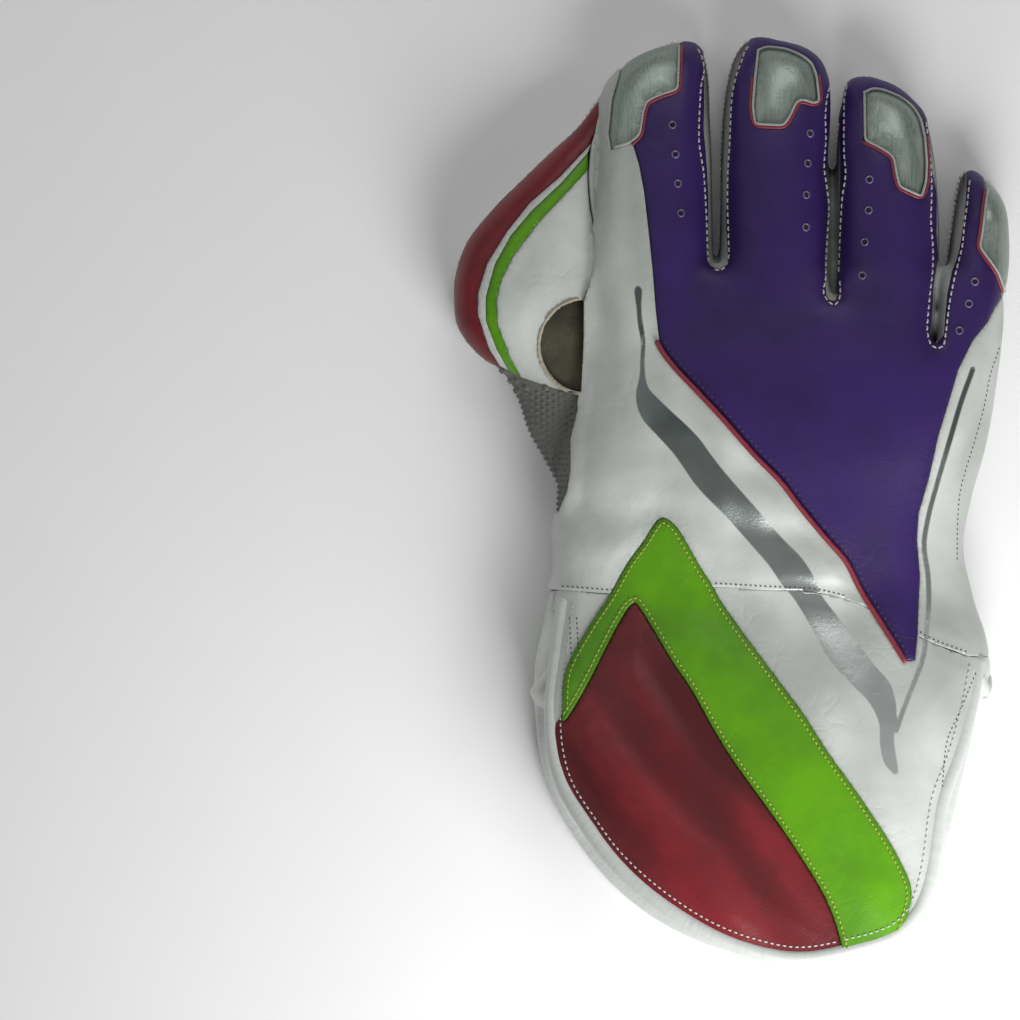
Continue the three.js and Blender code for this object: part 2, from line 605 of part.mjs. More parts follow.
// The sides of the hand, left and right of the back panel, above the wrist seam.
const handLeft = place([
  [FAR_LEFT, 1.2], ...WRIST_SEAM.slice(0, WRIST_SEAM_SPLIT), WRIST_POINT,
  [0.22, FAR_UP], [FAR_LEFT, FAR_UP],
]);
addPiece('radial_panel', take(handLeft, PALM_WRAP), WHITE, 0.35);
const handRight = place([
  WRIST_POINT, ...WRIST_SEAM.slice(WRIST_SEAM_SPLIT), [FAR_RIGHT, FAR_UP], [0.5, FAR_UP],
]);
addPiece('ulnar_panel', take(handRight, PALM_WRAP), WHITE, 0.35);

// Gussets: the cuff's sides, between its palm and the back binding.
const GUSSET_END = 1.3;
const gussetZone = (u) => place([
  [u, FAR_DOWN], [0.5, FAR_DOWN], [0.5, GUSSET_END], [u, GUSSET_END],
]);
addPiece('thumb_side_gusset', take(gussetZone(FAR_LEFT), PALM_WRAP), WHITE, 0.4);
addPiece('little_side_gusset', take(gussetZone(FAR_RIGHT), PALM_WRAP), WHITE, 0.4);

// Cuff's palm side with its band and inset.
addPiece('cuff_palm_band', take(place(PALM_BAND)), GREEN, 0.45);
addPiece('cuff_palm_inset', take(place(PALM_INSET)), RED, 0.45);
addPiece('cuff_palm', shell.intersect(block(strip(FAR_DOWN, 1.2))), WHITE, 0.4);

const box = new THREE.Box3().setFromObject(group);
const centre = box.getCenter(new THREE.Vector3());
group.position.set(-centre.x, -centre.y, -box.min.z);
group.updateMatrixWorld(true);

export default group;
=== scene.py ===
import math

import bpy
import numpy as np
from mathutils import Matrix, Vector, noise
from mathutils.bvhtree import BVHTree
from mathutils.kdtree import KDTree


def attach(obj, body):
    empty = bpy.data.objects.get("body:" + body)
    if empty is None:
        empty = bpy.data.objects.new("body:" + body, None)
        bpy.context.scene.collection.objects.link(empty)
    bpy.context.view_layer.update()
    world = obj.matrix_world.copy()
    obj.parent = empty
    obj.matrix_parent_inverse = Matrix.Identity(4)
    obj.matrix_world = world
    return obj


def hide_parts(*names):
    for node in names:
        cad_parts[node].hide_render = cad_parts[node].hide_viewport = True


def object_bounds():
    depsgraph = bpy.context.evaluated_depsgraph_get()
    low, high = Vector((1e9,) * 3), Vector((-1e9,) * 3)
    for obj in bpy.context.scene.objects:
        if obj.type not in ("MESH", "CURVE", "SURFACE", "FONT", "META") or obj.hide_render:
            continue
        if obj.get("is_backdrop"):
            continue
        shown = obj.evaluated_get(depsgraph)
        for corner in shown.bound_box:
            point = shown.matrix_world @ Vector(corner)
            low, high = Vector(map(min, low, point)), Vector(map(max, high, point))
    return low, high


# A right-hand wicketkeeping glove lies on its palm with its back up. X runs across the hand
# from the thumb to the little finger, Y from the cuff to the fingertips. The outlines below
# are in millimetres until a piece is made.
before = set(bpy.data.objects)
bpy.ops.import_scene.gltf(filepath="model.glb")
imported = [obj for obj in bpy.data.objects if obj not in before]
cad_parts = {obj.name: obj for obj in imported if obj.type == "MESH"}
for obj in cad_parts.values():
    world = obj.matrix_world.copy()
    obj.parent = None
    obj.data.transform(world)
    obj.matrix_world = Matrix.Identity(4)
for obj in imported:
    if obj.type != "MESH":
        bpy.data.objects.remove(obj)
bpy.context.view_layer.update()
MM = 0.001
CENTRE_X, CENTRE_Y = 51.76, 170.19
PHOTO_X = (319.0, 455.0, 590.0, 1003.0, 1140.0)
GLOVE_X = (-100.5, -50.0, 0.0, 152.0, 202.5)
PHOTO_Y = (-96.0, 40.0, 300.0, 600.0, 965.0, 1101.0)
GLOVE_Y = (390.2, 340.0, 244.0, 134.0, 0.0, -50.0)
bpy.ops.object.select_all(action="DESELECT")


def seen(points):
    """Turns places in the photograph, in pixels, into millimetres on the glove."""
    points = np.asarray(points, float)
    x = np.interp(points[:, 0], PHOTO_X, GLOVE_X)
    y = np.interp(points[:, 1], PHOTO_Y, GLOVE_Y)
    return np.column_stack([x - CENTRE_X, y - CENTRE_Y])


# The camera looks straight down from far above, as the photograph does.
CAMERA_HEIGHT = 4.0
PHOTO_WIDTH = 0.3754
camera_data = bpy.data.cameras.new("camera")
camera_data.sensor_width = 36.0
camera_data.lens = 36.0 * CAMERA_HEIGHT / PHOTO_WIDTH
camera_data.clip_end = 50.0
camera = bpy.data.objects.new("camera", camera_data)
bpy.context.scene.collection.objects.link(camera)
photo_centre = seen([(510, 510)])[0] * MM
camera.location = (photo_centre[0], photo_centre[1], CAMERA_HEIGHT + 0.02)
bpy.context.scene.camera = camera

# The glove's form, which all its leathers and rubber follow: a hand with four finger stalls
# and a thumb stall, lofted through sections, with gaps cut between the fingers. A section's
# row gives its place from the cuff's end (0) over the wrist (1) and the fingers' roots (2) to
# the tip (3), its left and right side in hand widths, and its height in millimetres.
LENGTHS = (134.0, 110.0, 96.0)
HAND_WIDTH = 152.0
THUMB_REACH = 50.0
ROUNDNESS = 2.4
FINGER_ROUNDNESS = 2.7
PALM_ROUNDNESS = 4.0
WIDEST_SHARE = 0.42
PRESSED = 1.5
PALM_HOLLOW = 4
PALM_HOLLOW_SIZE = (64, 68)
KNUCKLE_FLOOR = 26
KNUCKLE_FADE = 6
FORM_VOXEL = 1.35
BODY_ROWS = (
    (0.0, -0.41, 0.956, 65.0), (0.29, -0.41, 0.956, 62.4), (0.56, -0.42, 0.956, 58.5),
    (0.73, -0.43, 0.964, 54.6), (0.86, -0.38, 0.964, 50.7), (1.0, -0.31, 0.925, 46.0),
    (1.17, -0.26, 0.9, 47.0), (1.33, -0.24, 0.915, 48.5), (1.5, -0.2, 0.95, 50.0),
    (1.67, -0.09, 0.976, 50.0), (1.85, -0.04, 0.993, 47.5), (2.0, 0.003, 0.998, 43.5),
    (2.08, 0.004, 1.0, 42.0), (2.12, 0.006, 1.0, 40.5),
)
FINGER_ROWS = (
    (
        (1.72, 0.1, 0.33, 38.7), (1.94, 0.012, 0.3, 42.7), (2.15, 0.005, 0.298, 41.8),
        (2.38, 0.017, 0.293, 39.2), (2.58, 0.024, 0.293, 36.1), (2.73, 0.027, 0.288, 33.0),
        (2.83, 0.039, 0.286, 29.9), (2.9, 0.077, 0.281, 26.8), (2.95, 0.13, 0.274, 22.4),
        (2.985, 0.185, 0.262, 15.8),
    ),
    (
        (1.8, 0.38, 0.56, 44.0), (2.06, 0.315, 0.577, 43.1), (2.27, 0.316, 0.576, 40.9),
        (2.58, 0.318, 0.574, 37.0), (2.75, 0.325, 0.575, 33.9), (2.85, 0.335, 0.572, 30.8),
        (2.92, 0.346, 0.556, 27.3), (2.97, 0.362, 0.52, 22.0), (3.0, 0.378, 0.45, 15.8),
    ),
    (
        (1.65, 0.65, 0.79, 42.2), (1.87, 0.6, 0.825, 42.7), (2.0, 0.595, 0.836, 40.9),
        (2.23, 0.595, 0.845, 38.7), (2.46, 0.596, 0.838, 36.1), (2.6, 0.599, 0.828, 33.4),
        (2.7, 0.605, 0.812, 29.9), (2.77, 0.616, 0.776, 26.4), (2.82, 0.62, 0.74, 21.1),
        (2.85, 0.628, 0.7, 15.0),
    ),
    (
        (1.58, 0.86, 0.91, 34.3), (1.8, 0.854, 0.972, 37.8), (2.0, 0.857, 1.0, 37.0),
        (2.19, 0.869, 1.01, 33.9), (2.33, 0.882, 1.006, 30.8), (2.4, 0.889, 0.992, 26.4),
        (2.46, 0.896, 0.965, 21.1), (2.49, 0.902, 0.94, 15.8),
    ),
)
THUMB_ROWS = (
    (1.37, -0.22, 0.06, 18.7), (1.47, -0.33, 0.08, 23.1), (1.57, -0.45, 0.1, 25.8),
    (1.67, -0.52, 0.12, 27.2), (1.75, -0.62, 0.12, 28.6), (1.83, -0.84, 0.12, 30.9),
    (1.92, -0.98, 0.12, 33.0), (2.0, -1.0, 0.12, 34.0), (2.1, -0.99, 0.06, 34.0),
    (2.23, -0.9, 0.035, 33.0), (2.37, -0.68, 0.035, 30.9), (2.48, -0.47, 0.038, 27.9),
    (2.58, -0.27, 0.045, 24.5), (2.67, -0.085, 0.05, 20.4), (2.77, 0.015, 0.053, 14.3),
)
SLOT_FEET = ((715, 268), (832, 302), (933, 348))
SLOT_HEADS = ((716, 8), (834, 8), (944, 8))
SLOT_HALF_WIDTH = 1.9


def across(u):
    """A place across the hand, in hand widths, as millimetres."""
    return u * np.where(u < 0, THUMB_REACH, HAND_WIDTH) - CENTRE_X


def along(v):
    """A place along the glove, from 0 to 3, as millimetres."""
    starts = np.concatenate([[0.0], np.cumsum(LENGTHS)])
    return np.interp(v, [-1.0, 0.0, 1.0, 2.0, 3.0], [-LENGTHS[0], *starts]) - CENTRE_Y


def curve_through(points, closed=False, step=1.2):
    """A smooth curve through points, as points about one step apart."""
    points = np.asarray(points, float)
    if closed:
        ring = np.vstack([points[-1], points, points[:2]])
    else:
        ring = np.vstack([2 * points[0] - points[1], points, 2 * points[-1] - points[-2]])
    made = []
    for a, b, c, d in zip(ring, ring[1:], ring[2:], ring[3:]):
        gaps = [max(np.linalg.norm(q - p), 1e-6) ** 0.5 for p, q in ((a, b), (b, c), (c, d))]
        knots = np.cumsum([0.0] + gaps)
        count = max(2, int(round(np.linalg.norm(c - b) / step)))
        for t in np.linspace(knots[1], knots[2], count, endpoint=False):
            ab = a + (b - a) * (t - knots[0]) / (knots[1] - knots[0])
            bc = b + (c - b) * (t - knots[1]) / (knots[2] - knots[1])
            cd = c + (d - c) * (t - knots[2]) / (knots[3] - knots[2])
            abc = ab + (bc - ab) * (t - knots[0]) / (knots[2] - knots[0])
            bcd = bc + (cd - bc) * (t - knots[1]) / (knots[3] - knots[1])
            made.append(abc + (bcd - abc) * (t - knots[1]) / (knots[2] - knots[1]))
    if not closed:
        made.append(points[-1])
    return np.array(made)


def select_only(*objects):
    bpy.ops.object.select_all(action="DESELECT")
    for obj in objects:
        obj.select_set(True)
    bpy.context.view_layer.objects.active = objects[0]


def object_from(name, points, faces, scale=1.0):
    mesh = bpy.data.meshes.new(name)
    mesh.from_pydata((np.asarray(points) * scale).tolist(), [], [list(map(int, f)) for f in faces])
    obj = bpy.data.objects.new(name, mesh)
    bpy.context.scene.collection.objects.link(obj)
    return obj


def ring_faces(rings, sides):
    """The quads between rings of points that follow each other."""
    return [
        (r + i, r + (i + 1) % sides, r + sides + (i + 1) % sides, r + sides + i)
        for r in range(0, (rings - 1) * sides, sides)
        for i in range(sides)
    ]


def ring_ends(rings, sides):
    """The two faces that close a row of rings."""
    return [tuple(range(sides))[::-1], tuple((rings - 1) * sides + i for i in range(sides))]


def face_outward(obj):
    select_only(obj)
    bpy.ops.object.mode_set(mode="EDIT")
    bpy.ops.mesh.select_all(action="SELECT")
    bpy.ops.mesh.normals_make_consistent(inside=False)
    bpy.ops.object.mode_set(mode="OBJECT")


def apply_modifier(obj, kind, **settings):
    modifier = obj.modifiers.new(kind.title(), kind)
    for key, value in settings.items():
        setattr(modifier, key, value)
    select_only(obj)
    bpy.ops.object.modifier_apply(modifier=modifier.name)


def form_loft(name, rows, roundness, sides=72):
    """A closed loft through sections, pressed flat where it lies on the ground."""
    table = np.array([
        (along(v), across(np.array(left)), across(np.array(right)), top) for v, left, right, top in rows
    ])
    angle = np.linspace(0, 2 * math.pi, sides, endpoint=False)
    power = 2 / np.where(np.sin(angle) > 0, roundness, PALM_ROUNDNESS)
    side = np.sign(np.cos(angle)) * np.abs(np.cos(angle)) ** power
    lift = np.sign(np.sin(angle)) * np.abs(np.sin(angle)) ** power
    rings = []
    for y, left, right, top in curve_through(table, step=3.0):
        x = (left + right) / 2 + (right - left) / 2 * side
        widest = top * WIDEST_SHARE
        z = np.maximum(widest + lift * np.where(lift > 0, top - widest, widest + PRESSED), 0)
        dx = (x - across(np.array(0.5))) / PALM_HOLLOW_SIZE[0]
        dy = (y - along(1.6)) / PALM_HOLLOW_SIZE[1]
        z = z + PALM_HOLLOW * np.maximum(0, 1 - dx * dx - dy * dy) * (1 - z / top)
        rings.append(np.column_stack([x, np.full(sides, y), z]))
    for ring in (rings[0], rings[-1]):
        centre = ring.mean(axis=0)
        end = [centre + (ring - centre) * share for share in (0.75, 0.4)]
        if ring is rings[-1]:
            end[0][:, 1] += 0.8
            end[1][:, 1] += 1.2
            rings = rings + end
        else:
            rings = end[::-1] + rings
    faces = ring_faces(len(rings), sides)
    faces += [list(range(sides)), [(len(rings) - 1) * sides + i for i in range(sides)]]
    loft = object_from(name, np.vstack(rings), faces)
    face_outward(loft)
    return loft


hand_form = form_loft("hand_form", BODY_ROWS, ROUNDNESS, 120)
for slot_foot, slot_head in zip(seen(SLOT_FEET), seen(SLOT_HEADS)):
    turn = np.linspace(math.pi, 2 * math.pi, 13)
    foot = np.column_stack([np.cos(turn), 1 + np.sin(turn)]) * SLOT_HALF_WIDTH + slot_foot
    outline = np.vstack([foot, [slot_head + (SLOT_HALF_WIDTH, 0), slot_head - (SLOT_HALF_WIDTH, 0)]])
    low = np.column_stack([outline, np.full(len(outline), -9.0)])
    high = np.column_stack([outline, np.full(len(outline), 90.0)])
    n = len(outline)
    sides = [(i, (i + 1) % n, n + (i + 1) % n, n + i) for i in range(n)]
    cutter = object_from("slot_cutter", np.vstack([low, high]), [*sides, range(n)[::-1], range(n, 2 * n)])
    apply_modifier(hand_form, "BOOLEAN", operation="DIFFERENCE", object=cutter, solver="EXACT")
    bpy.data.objects.remove(cutter)
stalls = [form_loft("stall_form", rows, FINGER_ROUNDNESS) for rows in FINGER_ROWS]
stalls.append(form_loft("stall_form", THUMB_ROWS, ROUNDNESS))
select_only(hand_form, *stalls)
bpy.ops.object.join()
form = hand_form
apply_modifier(form, "REMESH", mode="VOXEL", voxel_size=FORM_VOXEL)
apply_modifier(form, "SMOOTH", factor=0.5, iterations=8)
knuckles = form.vertex_groups.new(name="knuckles")
knuckle_start, knuckle_end = along(1.62), along(2.3)
for vertex in form.data.vertices:
    share = (vertex.co.y - knuckle_start) / (knuckle_end - knuckle_start)
    above = vertex.co.z - KNUCKLE_FLOOR
    if 0 < share < 1 and above > 0:
        weight = math.sin(math.pi * share) ** 0.5 * min(above / KNUCKLE_FADE, 1)
        knuckles.add([vertex.index], weight, "REPLACE")
apply_modifier(form, "SMOOTH", factor=0.5, iterations=110, vertex_group="knuckles")
apply_modifier(form, "TRIANGULATE")
points = np.empty(len(form.data.vertices) * 3)
form.data.vertices.foreach_get("co", points)
points = points.reshape(-1, 3)
triangles = np.empty(len(form.data.polygons) * 3, int)
form.data.polygons.foreach_get("vertices", triangles)
triangles = triangles.reshape(-1, 3)
bpy.data.objects.remove(form)


def unit(vectors):
    return vectors / np.maximum(np.linalg.norm(vectors, axis=-1, keepdims=True), 1e-9)


def normals_of(points, triangles):
    corners = points[triangles]
    facing = np.cross(corners[:, 1] - corners[:, 0], corners[:, 2] - corners[:, 0])
    sums = np.zeros_like(points)
    for i in range(3):
        np.add.at(sums, triangles[:, i], facing)
    return unit(sums)


def edge_distance(points, outline, closed=True):
    """How far points lie from an outline seen from above, negative inside a closed one."""
    outline = np.asarray(outline, float)
    ends = np.roll(outline, -1, axis=0) if closed else outline[1:]
    nearest = np.full(len(points), 1e9)
    inside = np.zeros(len(points), bool)
    x, y = points[:, 0], points[:, 1]
    for (ax, ay), (bx, by) in zip(outline, ends):
        ex, ey = bx - ax, by - ay
        share = np.clip(((x - ax) * ex + (y - ay) * ey) / max(ex * ex + ey * ey, 1e-12), 0, 1)
        nearest = np.minimum(nearest, (x - ax - share * ex) ** 2 + (y - ay - share * ey) ** 2)
        if closed and ay != by:
            crosses = ((ay > y) != (by > y)) & (x < ax + (y - ay) * ex / ey)
            inside ^= crosses
    return np.sqrt(nearest) * np.where(inside, -1, 1)


def cut(surface, field):
    """Cuts a surface where field is zero, into the parts below and above it."""
    points, normals, triangles = surface
    below = field < 0
    count = below[triangles].sum(axis=1)
    parts = []
    mixed = triangles[(count == 1) | (count == 2)]
    lone_is_below = below[mixed].sum(axis=1) == 1
    lone = np.argmax(below[mixed] == lone_is_below[:, None], axis=1)
    rows = np.arange(len(mixed))
    a, b, c = (mixed[rows, (lone + k) % 3] for k in range(3))
    pairs = np.concatenate([np.column_stack([a, b]), np.column_stack([a, c])])
    pairs.sort(axis=1)
    unique, place = np.unique(pairs, axis=0, return_inverse=True)
    place = place.reshape(-1)
    share = field[unique[:, 0]] / (field[unique[:, 0]] - field[unique[:, 1]])
    share = np.clip(share, 0.06, 0.94)[:, None]
    new_points = points[unique[:, 0]] * (1 - share) + points[unique[:, 1]] * share
    new_normals = unit(normals[unique[:, 0]] * (1 - share) + normals[unique[:, 1]] * share)
    ab = len(points) + place[: len(mixed)]
    ac = len(points) + place[len(mixed):]
    tips = np.column_stack([a, ab, ac])
    bases = np.concatenate([np.column_stack([ab, b, c]), np.column_stack([ab, c, ac])])
    base_below = np.concatenate([~lone_is_below, ~lone_is_below])
    all_points = np.vstack([points, new_points])
    all_normals = np.vstack([normals, new_normals])
    for side in (True, False):
        whole = triangles[count == (3 if side else 0)]
        kept = np.vstack([whole, tips[lone_is_below == side], bases[base_below == side]])
        used, index = np.unique(kept, return_inverse=True)
        parts.append((all_points[used], all_normals[used], index.reshape(-1, 3)))
    return parts


def take(field_of, gap=0.06):
    """Takes the part of the leather where a field is below zero, and leaves a seam round it."""
    global leather
    piece, rest = cut(leather, field_of(leather[0]) + gap)
    leather = cut(rest, field_of(rest[0]) - gap)[1]
    return piece


def within(outline):
    """A field that is below zero inside an outline seen from above."""
    return lambda p: edge_distance(p, outline)


def free_edges(triangles):
    """The edges that bound a surface, each in its triangle's own order."""
    edges = np.vstack([triangles[:, [0, 1]], triangles[:, [1, 2]], triangles[:, [2, 0]]])
    ordered = np.sort(edges, axis=1)
    unique, first, counts = np.unique(ordered, axis=0, return_index=True, return_counts=True)
    return edges[first[counts == 1]]


def without_scraps(surface):
    """Drops the scraps that crossing cuts leave beside a piece."""
    points, normals, triangles = surface
    label = np.arange(len(points))
    settled = False
    while not settled:
        lowest = label[triangles].min(axis=1)
        lowered = label.copy()
        np.minimum.at(lowered, triangles.ravel(), np.repeat(lowest, 3))
        lowered = lowered[lowered]
        settled = np.array_equal(lowered, label)
        label = lowered
    owner = label[triangles[:, 0]]
    names, counts = np.unique(owner, return_counts=True)
    kept = triangles[np.isin(owner, names[counts > 0.05 * counts.max()])]
    used, index = np.unique(kept, return_inverse=True)
    return points[used], normals[used], index.reshape(-1, 3)


def border_distance(surface, flush=None):
    """How far each point of a surface lies from its free edges, leaving out those on a flush line."""
    points, normals, triangles = surface
    free = free_edges(triangles)
    marks = np.vstack([points[free[:, 0]], (points[free[:, 0]] + points[free[:, 1]]) / 2])
    if flush is not None:
        marks = marks[edge_distance(marks, flush, closed=False) > 0.7]
    tree = KDTree(len(marks))
    for i, mark in enumerate(marks):
        tree.insert(mark, i)
    tree.balance()
    return np.array([tree.find(p)[2] for p in points])


def folds(points, size, seed, stretch=(1, 1, 1)):
    """Smooth noise from -1 to 1 with bumps about size millimetres across."""
    scaled = points / size / np.asarray(stretch) + seed * 17.3
    return np.array([noise.noise(Vector(p)) for p in scaled])


def add_attribute(obj, name, values):
    attribute = obj.data.attributes.new(name, "FLOAT", "POINT")
    attribute.data.foreach_set("value", np.asarray(values, np.float32))


def panel(name, surface, node, slot, finishes, fill=None, lift=0.0, sink=0.6, puff=0.8, puff_width=9.0,
          fold=0.25, fold_size=26.0, thickness=1.6, shape=None, floor_gap=0.0, print_and_shade_field=None, flush=None):
    """Makes a cut leather a sewn piece: its edges sink to the seam and its middle swells.

    Its finishes are its outside's, its inside's and its cut edge's.
    """
    surface = without_scraps(surface)
    points, normals, triangles = surface
    edge = border_distance(surface)
    seam = edge if flush is None else border_distance(surface, flush)
    offset = lift - sink * np.exp(-seam / 1.1) + puff * (1 - np.exp(-((seam / puff_width) ** 2)))
    offset += fold * folds(points, fold_size, len(name)) * np.minimum(edge / 5, 1)
    if shape is not None:
        offset += shape(points, edge)
    moved = points + normals * offset[:, None]
    moved[:, 2] = np.maximum(moved[:, 2], floor_gap)
    under = moved - normals * thickness
    under[:, 2] = np.maximum(under[:, 2], floor_gap)
    free = free_edges(triangles)
    rim = np.column_stack([free[:, 1], free[:, 0], free[:, 0] + len(moved), free[:, 1] + len(moved)])
    faces = triangles.tolist() + (triangles[:, ::-1] + len(moved)).tolist() + rim.tolist()
    obj = object_from(name, np.vstack([moved, under]), faces, MM)
    add_attribute(obj, "edge", np.tile(seam, 2))
    # The field carried here is the stripe's print, and the depth of the inset's fold hollows for painted
    # shade.
    if print_and_shade_field is not None:
        add_attribute(obj, "print_and_shade", np.tile(print_and_shade_field(points), 2))
    obj.data.shade_smooth()
    for finish in finishes:
        obj.data.materials.append(finish)
    parts = np.repeat([0, 1, 2], [len(triangles), len(triangles), len(rim)])
    obj.data.polygons.foreach_set("material_index", parts.astype(np.int32))
    skins.append((moved, triangles))
    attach(obj, "root")
    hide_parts(node)
    return obj


skins = []
leather = (points, normals_of(points, triangles), triangles)


# Every leather has pores, creases, a puckered seam and uneven colour. One node group makes
# them, in millimetres, and each leather's material sets how strong they are.
def put(tree, kind, inputs=None, **settings):
    """Adds a shader node. Its inputs are values or other nodes' outputs."""
    node = tree.nodes.new("ShaderNode" + kind)
    for key, value in settings.items():
        setattr(node, key, value)
    for key, value in (inputs or {}).items():
        if isinstance(value, bpy.types.NodeSocket):
            tree.links.new(value, node.inputs[key])
        else:
            node.inputs[key].default_value = value
    return node


def calc(tree, operation, *values):
    return put(tree, "Math", dict(enumerate(values)), operation=operation).outputs[0]


def tex_noise(tree, place, scale, detail=2.0, roughness=0.5, distortion=0.0):
    """Smooth noise, mostly between 0.3 and 0.7."""
    made = put(tree, "TexNoise", {"Vector": place, "Scale": scale, "Detail": detail, "Roughness": roughness,
                                  "Distortion": distortion})
    return made.outputs["Fac"]


def ramp(tree, value, low, high, to_low=0.0, to_high=1.0):
    """Turns a value between low and high into one between to_low and to_high."""
    made = put(tree, "MapRange", {"Value": value, "From Min": low, "From Max": high, "To Min": to_low,
                                  "To Max": to_high})
    return made.outputs[0]


def carried(tree, name):
    """The value that the mesh carries at each point under a name."""
    return put(tree, "Attribute", attribute_name=name).outputs["Fac"]


def part_of(tree, place, axis):
    return put(tree, "SeparateXYZ", {"Vector": place}).outputs[axis]


def times(tree, value, factor):
    return calc(tree, "MULTIPLY", value, factor)


def new_group(name, inputs, outputs):
    group = bpy.data.node_groups.new(name, "ShaderNodeTree")
    for label, value in inputs.items():
        kind = "NodeSocketFloat" if isinstance(value, (int, float)) else "NodeSocketVector"
        socket = group.interface.new_socket(name=label, in_out="INPUT", socket_type=kind)
        socket.default_value = value
    for label in outputs:
        group.interface.new_socket(name=label, in_out="OUTPUT", socket_type="NodeSocketFloat")
    source = group.nodes.new("NodeGroupInput").outputs
    sink = group.nodes.new("NodeGroupOutput").inputs
    return group, source, sink


group, given, result = new_group(
    "leather_surface",
    {"Place": (0.0, 0.0, 0.0), "Edge": 5.0, "Pore Size": 0.9, "Pore Depth": 0.03,
     "Crease Size": 7.0, "Crease Depth": 0.08, "Pucker": 0.12},
    ("Height", "Mottle", "Seam"),
)
in_mm = put(group, "VectorMath", {0: given["Place"], "Scale": 1000.0}, operation="SCALE").outputs[0]
pore_scale = calc(group, "DIVIDE", 1.0, given["Pore Size"])
pores = put(group, "TexVoronoi", {"Vector": in_mm, "Scale": pore_scale}, feature="SMOOTH_F1")
fine = tex_noise(group, in_mm, times(group, pore_scale, 2.6))
pore_height = times(group, calc(group, "ADD", pores.outputs["Distance"], fine), given["Pore Depth"])
crease_scale = calc(group, "DIVIDE", 1.0, given["Crease Size"])
crease = tex_noise(group, in_mm, crease_scale, 1.5, distortion=0.4)
ridge = calc(group, "ABSOLUTE", calc(group, "SUBTRACT", crease, 0.5))
line = calc(group, "POWER", calc(group, "SUBTRACT", 1.0, times(group, ridge, 2.4)), 5.0)
patches = ramp(group, tex_noise(group, in_mm, times(group, crease_scale, 0.31)), 0.46, 0.62)
crease_height = times(group, times(group, line, patches), given["Crease Depth"])
near_edge = calc(group, "EXPONENT", times(group, given["Edge"], -0.45))
pucker_height = times(group, times(group, tex_noise(group, in_mm, 0.42, 1.0), near_edge), given["Pucker"])
# The Seam output is near one at a panel's edge; materials darken there, partly dirt and partly painted shade.
for label, value in (
    ("Height", calc(group, "SUBTRACT", calc(group, "ADD", pore_height, pucker_height), crease_height)),
    ("Mottle", tex_noise(group, in_mm, 0.035, 4.0, 0.6)),
    ("Seam", calc(group, "EXPONENT", times(group, given["Edge"], -0.9))),
):
    group.links.new(value, result[label])
leather_group = group


def new_material(name):
    material = bpy.data.materials.new(name)
    material.use_nodes = True
    tree = material.node_tree
    return material, tree, tree.nodes["Principled BSDF"]


def mix(tree, factor, low, high):
    made = put(tree, "Mix", data_type="RGBA")
    for socket, value in ((made.inputs[0], factor), (made.inputs[6], low), (made.inputs[7], high)):
        if isinstance(value, bpy.types.NodeSocket):
            tree.links.new(value, socket)
        elif isinstance(value, tuple):
            socket.default_value = (*value, 1.0)
        else:
            socket.default_value = value
    return made.outputs[2]


def dress(tree, bsdf, base, rough, height, metal=None, depth=0.001, strength=1.0):
    """Links a material's colour, roughness, height and share of metal to its shader."""
    bump = put(tree, "Bump", {"Height": height, "Distance": depth, "Strength": strength}).outputs[0]
    for key, value in (("Base Color", base), ("Roughness", rough), ("Normal", bump), ("Metallic", metal)):
        if value is not None:
            tree.links.new(value, bsdf.inputs[key])


def leather_node(tree, edge, **surface):
    """The surface's place and the leather group's outputs there."""
    place = put(tree, "TexCoord").outputs["Object"]
    settings = {key.replace("_", " "): value for key, value in surface.items()}
    made = put(tree, "Group", {"Place": place, "Edge": edge, **settings}, node_tree=leather_group)
    return place, made.outputs


def leather_material(name, colour, shade, seam, roughness, coat=0.0, gloss=0.5, printed=None, **surface):
    """A leather whose colour drifts at random from colour to shade, and to seam beside its edges: partly dirt
    in the seam, partly painted shade there.
    """
    material, tree, bsdf = new_material(name)
    place, made = leather_node(tree, carried(tree, "edge"), **surface)
    base = mix(tree, ramp(tree, made["Mottle"], 0.38, 0.66), colour, shade)
    base = mix(tree, times(tree, made["Seam"], 0.75), base, seam)
    rough = ramp(tree, made["Mottle"], 0.3, 0.7, roughness - 0.07, roughness + 0.08)
    metal = None
    # The hook below lays print, painted shade and painted light over the leather's colour.
    if printed is not None:
        base, rough, metal = printed(tree, place, base, rough)
    dress(tree, bsdf, base, rough, made["Height"], metal)
    for key, value in (("Specular IOR Level", gloss), ("Coat Weight", coat), ("Coat Roughness", 0.42)):
        bsdf.inputs[key].default_value = value
    return material


raw_edge = leather_material("raw_leather", (0.42, 0.38, 0.29), (0.3, 0.27, 0.2), (0.46, 0.42, 0.34), 0.85,
                            Pore_Size=0.5, Pore_Depth=0.09, Crease_Size=3.0, Crease_Depth=0.1)
lining = leather_material("lining_cloth", (0.075, 0.068, 0.06), (0.045, 0.04, 0.036), (0.06, 0.055, 0.05),
                          0.92, Pore_Size=0.6, Pore_Depth=0.14)

